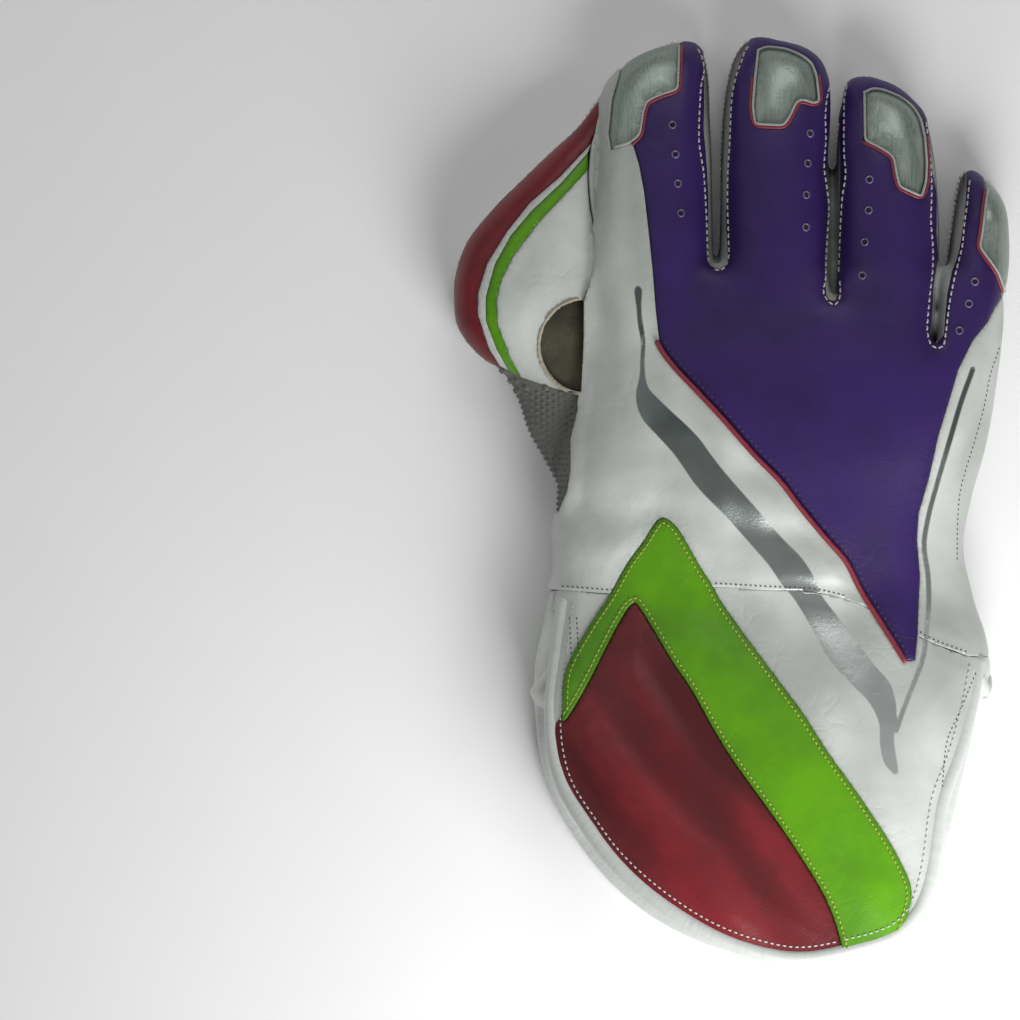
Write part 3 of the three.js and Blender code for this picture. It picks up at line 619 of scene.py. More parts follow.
# The palm side is one sheet of white pimpled rubber, glued and sewn over the hand, the
# fingers, the thumb and the web between them. It wraps a little way up the sides, and over
# the ball of the thumb. Its pimples stand in rows, larger ones on the thumb.
PALM_WRAP = 10.0
PIMPLE_PITCH = 2.4
THUMB_PIMPLE_PITCH = 4.2
PIMPLE_HEIGHT = 0.55
PIMPLE_RADIUS = 0.86
THUMB_PIMPLE_RADIUS = 1.55
THUMB_PIMPLE_HEIGHT = 1.4 * PIMPLE_HEIGHT
PIMPLE_LEVELS = ((1.0, -0.3), (0.55, 1.0))
ROW_SHARE = 0.866
MOST_HITS = 14
LEAST_FACING = 0.62
CREASE_DEPTH = 1.3
CREASE_WIDTH = 1.7
PALM_END = seen([(590, 620)])[0][1]
THUMB_FOOT = seen([(0, 391)])[0][1]
THENAR_EDGE = (
    (420, 366), (499, 366), (507, 370), (517, 376), (532.6, 381.5), (552, 388), (565, 391), (580, 392.5),
    (580.3, 411), (577, 425), (573.3, 440), (573, 470), (569.5, 492), (561, 512), (530, 520), (420, 520),
)
PALM_CREASES = (
    ((640, 300), (720, 312), (800, 330), (880, 352), (960, 372)),
    ((598, 250), (606, 330), (640, 400), (700, 470), (760, 540)),
    ((640, 470), (690, 520), (760, 560), (850, 575)),
    ((600, 590), (640, 545), (700, 520)),
    ((690, 600), (720, 560), (790, 530)),
    ((480, 330), (530, 300), (590, 255)),
)


def rubber_material(name, own_tone, grime):
    """Dull rubber, dirty in patches, and painted dark with shade where it wraps up from the ground."""
    material, tree, bsdf = new_material(name)
    place = put(tree, "TexCoord").outputs["Object"]
    share = ramp(tree, tex_noise(tree, place, 42.0, 5.0, 0.65), 0.45, 0.7)
    painted_wrap_shade = ramp(tree, part_of(tree, place, "Z"), 0.009, 0.015)
    # From 9 to 15 mm up the rubber turns dark grey-olive: painted shade over the ball of the thumb.
    base = mix(tree, painted_wrap_shade, mix(tree, share, own_tone, grime), (0.12, 0.125, 0.108))
    grain = tex_noise(tree, place, 1900.0, 3.0)
    dress(tree, bsdf, base, calc(tree, "MULTIPLY_ADD", share, 0.2, 0.55), grain, depth=0.00008)
    return material


# The pimples are a lighter copy of the rubber, so that between them it reads darker: partly dirt, partly
# painted shade.
rubber = rubber_material("palm_rubber", (0.56, 0.545, 0.57), (0.45, 0.43, 0.44))
pimple_rubber = rubber_material("pimple_rubber", (0.66, 0.645, 0.67), (0.56, 0.545, 0.56))
thenar_edge = seen(THENAR_EDGE)


def palm_field(p):
    whole = np.maximum(p[:, 2] - PALM_WRAP, PALM_END - p[:, 1])
    return np.minimum(whole, edge_distance(p, thenar_edge))


def palm_shape(p, edge):
    under = np.clip(4 - p[:, 2], 0, 4) / 4
    pressed = np.zeros(len(p))
    for crease in PALM_CREASES:
        away = edge_distance(p, curve_through(seen(crease)), closed=False)
        pressed = np.minimum(pressed, -CREASE_DEPTH * np.exp(-((away / CREASE_WIDTH) ** 2)))
    return pressed * under


panel("palm_rubber", take(palm_field), "palm_facing", "palm_rubber", (rubber, lining, raw_edge), sink=0.3,
      puff=0.3, fold=0.1, thickness=2.0, shape=palm_shape, floor_gap=PIMPLE_HEIGHT)
palm_points, palm_triangles = skins[0]
palm_tree = BVHTree.FromPolygons(palm_points.tolist(), palm_triangles.tolist())


def cast_rows(tree, spacing, axis):
    """Places and normals in staggered rows where rays along an axis leave or enter a skin."""
    sides = [i for i in range(3) if i != axis]
    rows = []
    low = palm_points.min(axis=0) - 3
    high = palm_points.max(axis=0) + 3
    ahead = Vector([float(i == axis) for i in range(3)])
    for r, a in enumerate(np.arange(low[sides[0]], high[sides[0]], spacing * ROW_SHARE)):
        for b in np.arange(low[sides[1]] + (r % 2) * spacing / 2, high[sides[1]], spacing):
            start = Vector((0, 0, 0))
            start[sides[0]], start[sides[1]], start[axis] = a, b, low[axis]
            for _ in range(MOST_HITS):
                place, normal = tree.ray_cast(start, ahead)[:2]
                if place is None:
                    break
                if abs(normal[axis]) > LEAST_FACING:
                    rows.append((*place, *normal))
                start = place + ahead * 0.01
    return np.array(rows)


def bumps(name, places, normals, radius, height, finish, sides=6):
    """Many small domes with flat tops, each standing on its place along its normal."""
    turn = np.linspace(0, 2 * math.pi, sides, endpoint=False)
    ring = np.column_stack([np.cos(turn), np.sin(turn), np.zeros(sides)])
    template = np.vstack([ring * (radius * r, radius * r, 1) + (0, 0, height * h) for r, h in PIMPLE_LEVELS])
    faces = ring_faces(2, sides) + [tuple(sides + i for i in range(sides))]
    across_n = unit(np.cross(normals, np.where(np.abs(normals[:, :1]) < 0.8, (1.0, 0, 0), (0, 1.0, 0))))
    along_n = np.cross(normals, across_n)
    spread = places[:, None] + template[None, :, :1] * across_n[:, None]
    spread = spread + template[None, :, 1:2] * along_n[:, None] + template[None, :, 2:] * normals[:, None]
    spread[..., 2] = np.maximum(spread[..., 2], 0.0)
    count = len(template)
    all_faces = [tuple(v + k * count for v in face) for k in range(len(places)) for face in faces]
    obj = object_from(name, spread.reshape(-1, 3), all_faces, MM)
    obj.data.shade_smooth()
    obj.data.materials.append(finish)
    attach(obj, "root")
    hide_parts("palm_facing")


THUMB_PIMPLES_RIGHT = seen([(560, 0)])[0][0]
fine_rows, coarse_rows = [], []
for axis in (2, 0, 1):
    for spacing, kept in ((PIMPLE_PITCH, fine_rows), (THUMB_PIMPLE_PITCH, coarse_rows)):
        found = cast_rows(palm_tree, spacing, axis)
        on_thumb = (found[:, 0] < THUMB_PIMPLES_RIGHT) & (found[:, 1] > THUMB_FOOT)
        found = found[on_thumb if kept is coarse_rows else ~on_thumb]
        clear = KDTree(len(kept) + 1)
        for i, row in enumerate(kept):
            clear.insert(row[:3], i)
        clear.balance()
        for row in found:
            nearest = clear.find(row[:3])[2]
            if nearest is None or nearest > spacing * 0.8:
                kept.append(row)
for name, rows, radius, height in (
    ("palm_pimples", np.array(fine_rows), PIMPLE_RADIUS, PIMPLE_HEIGHT),
    ("thumb_pimples", np.array(coarse_rows), THUMB_PIMPLE_RADIUS, THUMB_PIMPLE_HEIGHT),
):
    bumps(name, rows[:, :3], rows[:, 3:], radius, height, pimple_rubber)

# Three narrow strips of pale leather join the fingers' back to their palm side. From above
# only their edges show, either side of each dark gap.
SLOTS = {
    "index_middle_fourchette": (
        (706, -60), (704, 50), (704.4, 104), (703.6, 129), (707, 171), (708, 200), (708, 240),
        (707.5, 256), (709, 265), (717.7, 269), (726, 264), (725.5, 250), (724.5, 229), (725, 196),
        (726, 163), (727.6, 130), (729, 100), (733, 78), (740, 55), (748, 40), (752, -60),
    ),
    "middle_ring_fourchette": (
        (831.5, -60), (831.5, 79), (828.6, 117), (825.7, 175), (828.2, 213), (825.7, 251), (824.2, 280),
        (824.6, 295), (828.6, 302.5), (834, 300), (836.3, 280), (837.2, 251), (838.2, 213), (839, 175),
        (839, 117), (841, -60),
    ),
    "ring_little_fourchette": (
        (927, -60), (927, 117), (931, 167), (935.7, 194), (935.7, 232), (937, 261), (931.9, 289.5),
        (930, 318), (928, 333.5), (933.8, 343), (940.5, 335.4), (942.4, 314), (944.3, 295), (950, 270),
        (956.7, 251), (961.5, 222.6), (964.4, 194), (965.7, 172.8), (966, -60),
    ),
}
# Below these heights the strips get painted shade, near black at the lowest.
SLOT_SHADE_FULL = 0.017
SLOT_SHADE_END = 0.026


def painted_gap_shade(tree, place, base, rough):
    """The strips keep their own colour near their top edge, and are painted dark with shade further down in
    the gap between the fingers.
    """
    own_tone = ramp(tree, part_of(tree, place, "Z"), SLOT_SHADE_FULL, SLOT_SHADE_END)
    return mix(tree, own_tone, (0.02, 0.02, 0.018), base), rough, None


# The strips' lower parts are painted dark as shade in the finger gaps.
pale_leather = leather_material("fourchette_leather", (0.42, 0.45, 0.42), (0.32, 0.35, 0.33),
                                (0.17, 0.17, 0.16), 0.5, printed=painted_gap_shade, Pore_Depth=0.04, Pucker=0.3)
for node, outline in SLOTS.items():
    panel(node.replace("fourchette", "strip"), take(within(seen(outline))), node, "white_leather",
          (pale_leather, lining, raw_edge), sink=0.25, puff=0.2)

# A hard cap of brushed silver leather shields each fingertip. It is sewn on over a pad, with
# its edge turned under.
CAPS = {
    "index": (
        (622, 20), (679.6, 20), (679.6, 46.6), (677, 91.4), (661.3, 96.3), (646.4, 103), (643, 113),
        (639.8, 136), (630.6, 144.4), (614.9, 149), (610, 151.5), (607.5, 134), (611, 100), (618, 76),
        (622, 58),
    ),
    "middle": (
        (757, 51), (765.8, 47), (785.7, 49.5), (800, 55.5), (810.6, 63), (815.5, 76.4), (818, 103),
        (812, 105.5), (800.6, 101.3), (795.6, 103), (789, 117.9), (782.4, 127.8), (753.3, 126.2),
        (750.9, 108), (753.3, 79.8),
    ),
    "ring": (
        (863, 93), (871.6, 88.5), (883, 90), (900.3, 97.5), (911.8, 106.5), (919.4, 118.5), (923.3, 136.5),
        (925.2, 163), (924.2, 182.4), (919.4, 198.6), (896.5, 188), (893.6, 174.7), (890.8, 157.5),
        (877.4, 149), (863, 142),
    ),
    "little": (
        (988, 120), (1100, 150), (1100, 292), (1001.7, 297), (994.4, 272.3), (976.8, 247.4), (979.7, 232),
        (982.6, 209), (984.5, 192),
    ),
}
FOIL_STREAKS = (2600.0, 70.0, 900.0)


def foil_material(name, colour, worn):
    """Silver foil on leather, brushed along the finger, rubbed dull in places."""
    material, tree, bsdf = new_material(name)
    place, made = leather_node(tree, carried(tree, "edge"), Pucker=0.25)
    stretched = put(tree, "Mapping", {"Vector": place, "Scale": FOIL_STREAKS})
    streak = tex_noise(tree, stretched.outputs[0], 1.0, 3.0)
    rubbed = ramp(tree, tex_noise(tree, place, 95.0, 5.0, 0.65), 0.52, 0.68)
    base = mix(tree, ramp(tree, streak, 0.25, 0.75), tuple(0.62 * c for c in colour), colour)
    base = mix(tree, times(tree, rubbed, 0.6), base, worn)
    # Darker beside the edge: partly dirt in the seam, partly painted shade.
    base = mix(tree, times(tree, made["Seam"], 0.6), base, tuple(0.35 * c for c in colour))
    rough = calc(tree, "MULTIPLY_ADD", streak, 0.3, 0.24)
    metal = calc(tree, "MULTIPLY_ADD", rubbed, -0.45, 0.7)
    dress(tree, bsdf, base, rough, calc(tree, "ADD", times(tree, streak, 0.05), made["Height"]), metal)
    return material


foil = foil_material("silver_foil", (0.33, 0.395, 0.35), (0.25, 0.29, 0.26))
for finger, outline in CAPS.items():
    panel(finger + "_cap_shield", take(within(seen(outline))), finger + "_cap", "silver_leather",
          (foil, lining, foil), fill=0.7, lift=-0.1, sink=0.35, puff=0.85, puff_width=5, fold_size=12,
          thickness=1.4)

# The back is one piece of purple leather from the knuckles to the fingertips, running to a
# point at the wrist. It is padded softly over the fingers and sewn down along every edge.
BACK_EDGE = (
    (625, -40), (625, 140), (631.5, 144.4), (638, 166), (643, 192.5), (648, 237), (651.4, 270.5),
    (654.5, 310), (657.9, 341.6), (662, 350), (674.7, 366.8), (700, 394), (725.3, 421.6), (754.7, 455.3),
    (780, 481), (797.6, 504.3), (824, 536.5), (844.5, 560), (859.2, 589.3), (876.8, 618.7), (891.5, 642),
    (902.5, 660), (912, 660), (914.9, 633.3), (916.4, 604), (917.9, 574.7), (914.9, 539.5), (916.4, 513),
    (926.7, 477.9), (935.5, 436.8), (947.2, 398.7), (956, 369.3), (970.7, 340), (986, 322), (995, 305),
    (1001.7, 296), (1001, 270), (1001, -40),
)
purple_leather = leather_material("purple_leather", (0.034, 0.014, 0.108), (0.023, 0.0095, 0.075),
                                  (0.016, 0.006, 0.05), 0.44, coat=0.04, gloss=0.25, Pore_Size=0.8,
                                  Pore_Depth=0.045, Crease_Size=9.0, Crease_Depth=0.05, Pucker=0.35)
panel("back_leather", take(within(seen(BACK_EDGE))), "back_panel", "purple_leather",
      (purple_leather, lining, purple_leather), fill=0.4, lift=0.6, sink=0.9, puff=0.5, puff_width=6,
      fold=0.45, fold_size=22)

# The cuff opens at its end and a little way up both sides, so that its back and its palm side
# are two tongues. Both are cut out round, with a padded roll sewn over their edges.
CUFF_SPLIT = 27.3
ROLL_RADIUS = 3.2
NOTCH_SLOPE = 1.2
CUFF_BACK_EDGE = (
    (556, 470), (555, 560), (553, 600), (546, 650), (540, 700), (542, 750), (553, 790), (575, 825),
    (605, 865), (650, 905), (700, 937), (750, 956), (795, 964), (850, 955), (900, 938), (925, 910),
    (937, 870), (948, 800), (962, 765), (977, 715), (988, 662), (982, 610), (975, 560), (975, 470),
)
CUFF_PALM_EDGE = (
    (531, 700), (534, 750), (545, 790), (570, 835), (610, 885), (660, 925), (720, 952), (770, 960),
    (830, 953), (885, 930), (925, 895), (948, 850), (960, 800), (975, 740), (985, 690),
)
WRIST_SEAM = (
    (350, 590), (560, 590), (613, 594), (712, 587), (764, 590), (815, 593), (860, 605), (930, 643),
    (965, 656), (1130, 656),
)
NOTCH_END = seen([(590, 700)])[0][1]
cuff_back_edge = curve_through(seen(CUFF_BACK_EDGE), closed=True)
cuff_palm_corners = seen([(1100, 650), (1100, -300), (350, -300), (350, 690)])
cuff_palm_edge = np.vstack([curve_through(seen(CUFF_PALM_EDGE)), cuff_palm_corners])
wrist_line = curve_through(seen(WRIST_SEAM))
wrist_edge = np.vstack([wrist_line, seen([(1130, 1200), (350, 1200)])])


def outside_field(p):
    above = np.maximum(CUFF_SPLIT - p[:, 2], edge_distance(p, wrist_edge))
    above = np.maximum(above, -ROLL_RADIUS - edge_distance(p, cuff_back_edge))
    above = np.maximum(above, p[:, 1] - NOTCH_END - NOTCH_SLOPE * (p[:, 2] - CUFF_SPLIT))
    below = np.maximum(-ROLL_RADIUS - edge_distance(p, cuff_palm_edge), p[:, 2] - CUFF_SPLIT)
    return np.minimum(above, below)


whole_form = BVHTree.FromPolygons(points.tolist(), triangles.tolist())
take(outside_field, gap=0.0)


def loop_at_lowest(surface):
    """The ring of free edges through a surface's point nearest the cuff's end, in order."""
    points, normals, triangles = surface
    free = free_edges(triangles)
    onward = {int(a): int(b) for a, b in free}
    start = int(free[np.argmin(points[free[:, 0], 1]), 0])
    ring = [start]
    while onward[ring[-1]] != start and len(ring) < len(free):
        ring.append(onward[ring[-1]])
    return points[ring], normals[ring]


mouth, mouth_normals = loop_at_lowest(leather)

# A green leather chevron lies over the cuff's back, its point on the back of the hand. It is
# a thick strip, sewn down by two rows of yellow thread.
CHEVRON_OUTER = (
    (562, 721), (563.9, 676.4), (569.3, 660.4), (590.7, 622.9), (608.6, 596), (626.4, 563.9), (644.3, 538.9),
    (651.6, 526.8), (660, 518), (667, 520), (674.7, 526.8), (685.3, 543.7), (695.8, 562.6), (710.5, 585.8),
    (717.9, 600), (780, 686), (797.6, 709.6), (824, 750.7), (859.2, 800), (892, 852), (907, 888), (903, 912),
    (888, 955),
)
CHEVRON_INNER = (
    (846, 975), (826, 905), (790, 843), (728, 755), (710.4, 726.4), (690.7, 690.7), (669.3, 658.6),
    (651.4, 628.2), (638.9, 608), (634, 602), (628.5, 605.5), (619.3, 619.3), (603.2, 649.6), (587, 681.8),
    (572.9, 706.8), (564.8, 719.3),
)
chevron_outer = curve_through(seen(CHEVRON_OUTER))
chevron_inner = curve_through(seen(CHEVRON_INNER))
chevron_edge = np.vstack([chevron_outer, chevron_inner])
CUFF_TOP = seen([(0, 612)])[0][1]


def in_cuff(p):
    side = np.minimum(edge_distance(p, cuff_back_edge) + ROLL_RADIUS, CUFF_TOP - p[:, 1])
    return np.maximum(CUFF_SPLIT - p[:, 2], side)


def cuff_part(outline):
    return lambda p: np.maximum(edge_distance(p, outline), in_cuff(p))


green_leather = leather_material("green_leather", (0.105, 0.32, 0.004), (0.072, 0.235, 0.003),
                                 (0.045, 0.14, 0.003), 0.38, coat=0.06, gloss=0.3, Pore_Size=0.7,
                                 Pore_Depth=0.04, Crease_Size=8.0, Crease_Depth=0.06, Pucker=0.4)
panel("chevron_leather", take(cuff_part(chevron_edge)), "cuff_chevron", "green_leather",
      (green_leather, lining, green_leather), fill=0.5, lift=0.9, sink=0.35, puff=0.7, fold=0.5, fold_size=18,
      thickness=2.5)

# Inside the chevron the cuff is soft maroon leather over a pad. It sags into broad slanting
# folds, with painted shade darkening their hollows.
INSET_EDGE = (
    (400, 745), (545, 735), (572, 700), (600, 640), (636, 590), (660, 625), (720, 715), (800, 830),
    (852, 905), (900, 1060), (400, 1060),
)
FOLD_TURN = math.radians(38)
FOLD_DEPTH = 3.0
FOLD_FADE = 9.0


def inset_shape(p, edge):
    turned = p.copy()
    turned[:, 0] = p[:, 0] * math.cos(FOLD_TURN) + p[:, 1] * math.sin(FOLD_TURN)
    turned[:, 1] = p[:, 1] * math.cos(FOLD_TURN) - p[:, 0] * math.sin(FOLD_TURN)
    return FOLD_DEPTH * folds(turned, 17, 3, stretch=(1.0, 3.2, 2.0)) * np.minimum(edge / FOLD_FADE, 1)


def inset_hollow(p):
    return -inset_shape(p, np.full(len(p), FOLD_FADE)) / FOLD_DEPTH


def painted_fold_shade(tree, place, base, rough):
    """Painted shade darkens the hollows of the folds, and their tops keep the leather's colour."""
    deep = ramp(tree, carried(tree, "print_and_shade"), -0.1, 0.4, to_high=0.75)
    # The near-black wine colour is painted shade, deepest where the fold is deepest.
    return mix(tree, deep, base, (0.045, 0.005, 0.006)), rough, None


RED = ((0.185, 0.015, 0.02), (0.11, 0.009, 0.012), (0.06, 0.006, 0.009))
RED_SURFACE = {"Pore_Size": 0.8, "Pore_Depth": 0.045, "Crease_Size": 9.0, "Crease_Depth": 0.07, "Pucker": 0.4}
red_leather = leather_material("red_leather", *RED, 0.42, coat=0.05, gloss=0.28, **RED_SURFACE)
folded_leather = leather_material("folded_leather", *RED, 0.4, coat=0.08, gloss=0.3, printed=painted_fold_shade,
                                  **RED_SURFACE)
panel("inset_leather", take(cuff_part(seen(INSET_EDGE))), "cuff_inset", "red_leather",
      (folded_leather, lining, red_leather), fill=0.5, sink=0.4, puff=2.2, puff_width=14, fold=0.7,
      fold_size=34, thickness=2.5, shape=inset_shape, print_and_shade_field=inset_hollow)

# Either side of the chevron the cuff's back is silver-white leather. A silver stripe is
# printed down the back of the hand and over the wider side.
STRIPE_LEFT = (
    (633.7, 291), (635.8, 305.8), (637.9, 324.7), (641, 341.6), (640.6, 360.5), (640, 377.4),
    (636.8, 394.2), (637.9, 406.8), (643.2, 419.5), (657.9, 436.3), (672.6, 453), (683.2, 467.9),
    (691.6, 480.5), (704.2, 495.3), (721, 512), (737.9, 531), (754.7, 550), (767.4, 564.7), (780, 583.5),
    (791.7, 598), (809.3, 627.5), (826.9, 659.7), (847.5, 683), (865, 700.8), (875.3, 721.3),
    (876.8, 744.8), (881.2, 762.4), (890, 772.7),
)
STRIPE_RIGHT = (
    (893.5, 771.2), (889, 736), (891.5, 718.4), (890.9, 700.8), (885.6, 683), (870.9, 665.6), (853.3, 642),
    (835.7, 618.7), (818, 595), (809.3, 574.7), (797.6, 557), (780, 539.5), (754.7, 510), (737.9, 491),
    (723.2, 474.2), (708.4, 455.3), (697.9, 440.5), (685.3, 426.8), (670.5, 413), (657.9, 400.5),
    (648.4, 390), (644.8, 379.5), (643.6, 360.5), (643.6, 339.5), (641, 322.6), (639.4, 305.8),
    (639.4, 287.9), (635.8, 286.8),
)
BRANCH = (
    (892, 730), (899, 709.6), (911, 680.3), (920, 656.8), (923, 633.3), (925.9, 604), (925.4, 574.7),
    (921.5, 545.3), (926, 516), (934.7, 483.7), (946.5, 439.7), (958.2, 401.6), (970, 369),
)
BRANCH_HALF_WIDTH = 0.85
STRIPE_SPREAD = 0.2
PRINT_FLOOR = 12
stripe_edge = np.vstack([curve_through(seen(STRIPE_LEFT)), curve_through(seen(STRIPE_RIGHT))])
branch_line = curve_through(seen(BRANCH))


def stripe_mark(p):
    """Below zero where the stripe or its branch is printed."""
    stripe = edge_distance(p, stripe_edge) - STRIPE_SPREAD
    branch = edge_distance(p, branch_line, closed=False) - BRANCH_HALF_WIDTH
    return np.where(p[:, 2] > PRINT_FLOOR, np.minimum(stripe, branch), 9.0)


def stripe_print(tree, place, base, rough):
    """Silver ink inside the stripe, flaked away in small specks and painted lighter towards the cuff as
    painted light, on leather darkened in broad patches of painted shade and sheen.
    """
    # Broad patches of painted shade and sheen on the white leather.
    dirt_and_shade_patches = ramp(tree, tex_noise(tree, place, 19.0), 0.44, 0.62, to_high=0.5)
    base = mix(tree, dirt_and_shade_patches, base, (0.29, 0.315, 0.285))
    inside = ramp(tree, carried(tree, "print_and_shade"), 0.3, -0.2)
    kept = ramp(tree, tex_noise(tree, place, 520.0, 4.0, 0.7), 0.24, 0.3)
    share = times(tree, inside, kept)
    # Painted light: the ink is darker near the hand and lighter towards the cuff, where the key light falls.
    painted_light_ramp = ramp(tree, part_of(tree, place, "Y"), 0.03, -0.08)
    painted_light_ramp = calc(tree, "MULTIPLY_ADD", painted_light_ramp, 0.9, -0.15)
    tone = calc(tree, "MULTIPLY_ADD", tex_noise(tree, place, 60.0, 3.0), 0.3, painted_light_ramp)
    ink = mix(tree, tone, (0.13, 0.155, 0.15), (0.6, 0.63, 0.61))
    rough = calc(tree, "MULTIPLY_ADD", share, -0.06, rough)
    return mix(tree, share, base, ink), rough, times(tree, share, 0.8)


WHITE = ((0.55, 0.578, 0.545), (0.45, 0.482, 0.445), (0.36, 0.375, 0.35))
WHITE_SURFACE = {**RED_SURFACE, "Pore_Depth": 0.035, "Crease_Size": 10.0, "Crease_Depth": 0.12}
white_leather = leather_material("white_leather", *WHITE, 0.38, coat=0.15, **WHITE_SURFACE)
striped_leather = leather_material("striped_leather", *WHITE, 0.38, coat=0.15, printed=stripe_print,
                                   **WHITE_SURFACE)
SPLIT_X = seen([(631, 0)])[0][0]


def below_wrist(p):
    return np.maximum(in_cuff(p), edge_distance(p, wrist_edge))


panel("cuff_thumb_side_leather", take(lambda p: np.maximum(below_wrist(p), p[:, 0] - SPLIT_X), 0.0),
      "cuff_back_thumb_side", "white_leather", (white_leather, lining, white_leather), fill=0.4, lift=0.1,
      sink=0.4, puff=1.0, fold=0.5, fold_size=20, thickness=2.5, flush=wrist_line)
panel("cuff_little_side_leather", take(lambda p: np.maximum(below_wrist(p), SPLIT_X - p[:, 0]), 0.0),
      "cuff_back_little_side", "white_leather", (striped_leather, lining, white_leather), fill=0.4, lift=0.1,
      sink=0.4, puff=1.5, puff_width=16, fold=0.9, fold_size=32, thickness=2.5, print_and_shade_field=stripe_mark,
      flush=wrist_line)

# The thumb has its own stall. Its edge carries a red band, a thin white one and a green one,
# and its back is white leather with a breathing hole cut beside the hand.
BAND_EDGE = (
    (600.5, 20), (600.5, 116), (590.8, 143), (560, 176), (529.6, 202.4), (507, 231), (486.7, 263.7),
    (477.6, 294), (477.6, 314.7), (488.8, 349.4), (499, 365.7), (510, 382), (514, 420), (350, 450),
    (350, 20),
)
LINE_EDGE = (
    (594, 20), (594, 130), (588.8, 151.4), (560, 184), (531.6, 210.6), (511, 235), (494.9, 263.7),
    (485.7, 296.3), (485.7, 320.8), (497, 351.4), (505, 365.7), (519, 390), (525, 450), (350, 450), (350, 20),
)
STRIPE_EDGE = (
    (588, 20), (588, 168), (585.7, 171.8), (564.3, 194.3), (537.8, 222.9), (513.3, 255.5), (501, 280),
    (496, 300.4), (497.3, 324.9), (509, 355.5), (519.4, 376), (530, 390), (538, 450), (350, 450), (350, 20),
)
FLAP_EDGE = (
    (597, 60), (595, 110), (590, 147), (587.5, 172.6), (589.5, 205), (593, 224), (597, 242), (596.5, 262),
    (591, 281), (584.5, 296), (580.8, 315), (580.3, 340), (580.3, 388), *THENAR_EDGE[8:13], (563, 520),
)
LOWER_EDGE = ((480, 362), *THENAR_EDGE[1:8])
EYE_CENTRE = (583, 346)
EYE_SIZE = (43, 46)
EYE_RIGHT = 583
EYE_FLOOR = 12
EYE_MARGIN = 4
for name, outline, node, finish, slot in (
    ("thumb_red_band", BAND_EDGE, "thumb_edge_band", red_leather, "red_leather"),
    ("thumb_white_line", LINE_EDGE, "thumb_edge_line", white_leather, "white_leather"),
    ("thumb_green_stripe", STRIPE_EDGE, "thumb_stripe", green_leather, "green_leather"),
):
    panel(name, take(within(seen(outline)), 0.08), node, slot, (finish, lining, finish), sink=0.3, puff=0.35,
          puff_width=3, fold=0.15, fold_size=9)
turn = np.linspace(0, 2 * math.pi, 72, endpoint=False)
eye_outline = seen(np.column_stack([np.cos(turn), np.sin(turn)]) * EYE_SIZE + EYE_CENTRE)
eye_right = seen([(EYE_RIGHT, 0)])[0][0]
flap_edge = curve_through(seen(FLAP_EDGE[:13]))
thumb_edge = np.vstack([flap_edge, seen(LOWER_EDGE[::-1]), seen([(350, 362), (350, -60), (597, -60)])])


def eye_field(p):
    return np.maximum(edge_distance(p, eye_outline), np.maximum(p[:, 0] - eye_right, EYE_FLOOR - p[:, 2]))


def behind_eye_field(p):
    return np.maximum(edge_distance(p, eye_outline) - EYE_MARGIN, EYE_FLOOR - 3 - p[:, 2])


behind_eye = cut(leather, behind_eye_field(leather[0]))[0]
take(eye_field, gap=0.0)
# The lining behind the hole is its own dark brown, painted darker still as shade inside the hole.
eye_lining = leather_material("eye_lining", (0.075, 0.066, 0.04), (0.022, 0.019, 0.01), (0.022, 0.019, 0.01),
                              0.85, Crease_Size=5.0, Crease_Depth=0.25)
panel("thumb_eye_lining", behind_eye, "thumb_panel", "raw_leather", (eye_lining,) * 3, lift=-3.0, sink=0.0,
      puff=0.0, fold=0.8, fold_size=9, thickness=0.8)
skins.pop()
panel("thumb_leather", take(within(thumb_edge)), "thumb_panel", "white_leather",
      (white_leather, lining, raw_edge), fill=0.3, sink=0.3, fold=0.7, fold_size=20)

# White leather joins the back to the palm on both sides of the hand, and the printed stripe
# runs over the wider piece towards the wrist.
HAND_LEFT_TOP = ((908, 631), (681, -60), (350, -60))
hand_left = np.vstack([seen([(350, 527)]), seen(WRIST_SEAM[:7]), seen(HAND_LEFT_TOP)])
hand_right = np.vstack([seen([(908, 631)]), seen(WRIST_SEAM[7:]), seen([(1130, -60), (800, -60)])])
FOLDS_TURN = seen([(0, 380)])[0][1]
TALL_FOLDS = 2.2
WIDE_FOLDS = 2.6
FLAP_RISE = 1.5
FLAP_WIDTH = 4.5


def above_wrap(outline):
    """A field that is below zero inside an outline, above the rubber's wrap."""
    return lambda p: np.maximum(edge_distance(p, outline), PALM_WRAP - p[:, 2])


def radial_shape(p, edge):
    """Folds along the hand above the turn, folds across it below, and the thumb's raised flap."""
    tall = folds(p, 13, 7, stretch=(1.0, 4.5, 2.0))
    wide = folds(p, 15, 11, stretch=(3.5, 1.0, 2.0))
    low = np.clip((FOLDS_TURN - p[:, 1]) / 25, 0, 1)
    flap = edge_distance(p, seen(FLAP_EDGE), closed=False)
    raised = FLAP_RISE * np.exp(-flap / FLAP_WIDTH) * (p[:, 2] > PALM_WRAP + 4)
    both = TALL_FOLDS * tall * (1 - 0.6 * low) + WIDE_FOLDS * wide * low
    return both * np.minimum(edge / 6, 1) + raised


for name, outline, node, looks in (
    ("radial_leather", hand_left, "radial_panel",
     {"lift": 0.5, "puff": 0.7, "fold_size": 34, "shape": radial_shape}),
    ("ulnar_leather", hand_right, "ulnar_panel", {"lift": 0.1, "puff": 0.6, "fold_size": 26}),
):
    panel(name, take(above_wrap(outline)), node, "white_leather", (striped_leather, lining, white_leather),
          fill=0.3, sink=0.35, fold=0.8, print_and_shade_field=stripe_mark, flush=wrist_line, **looks)

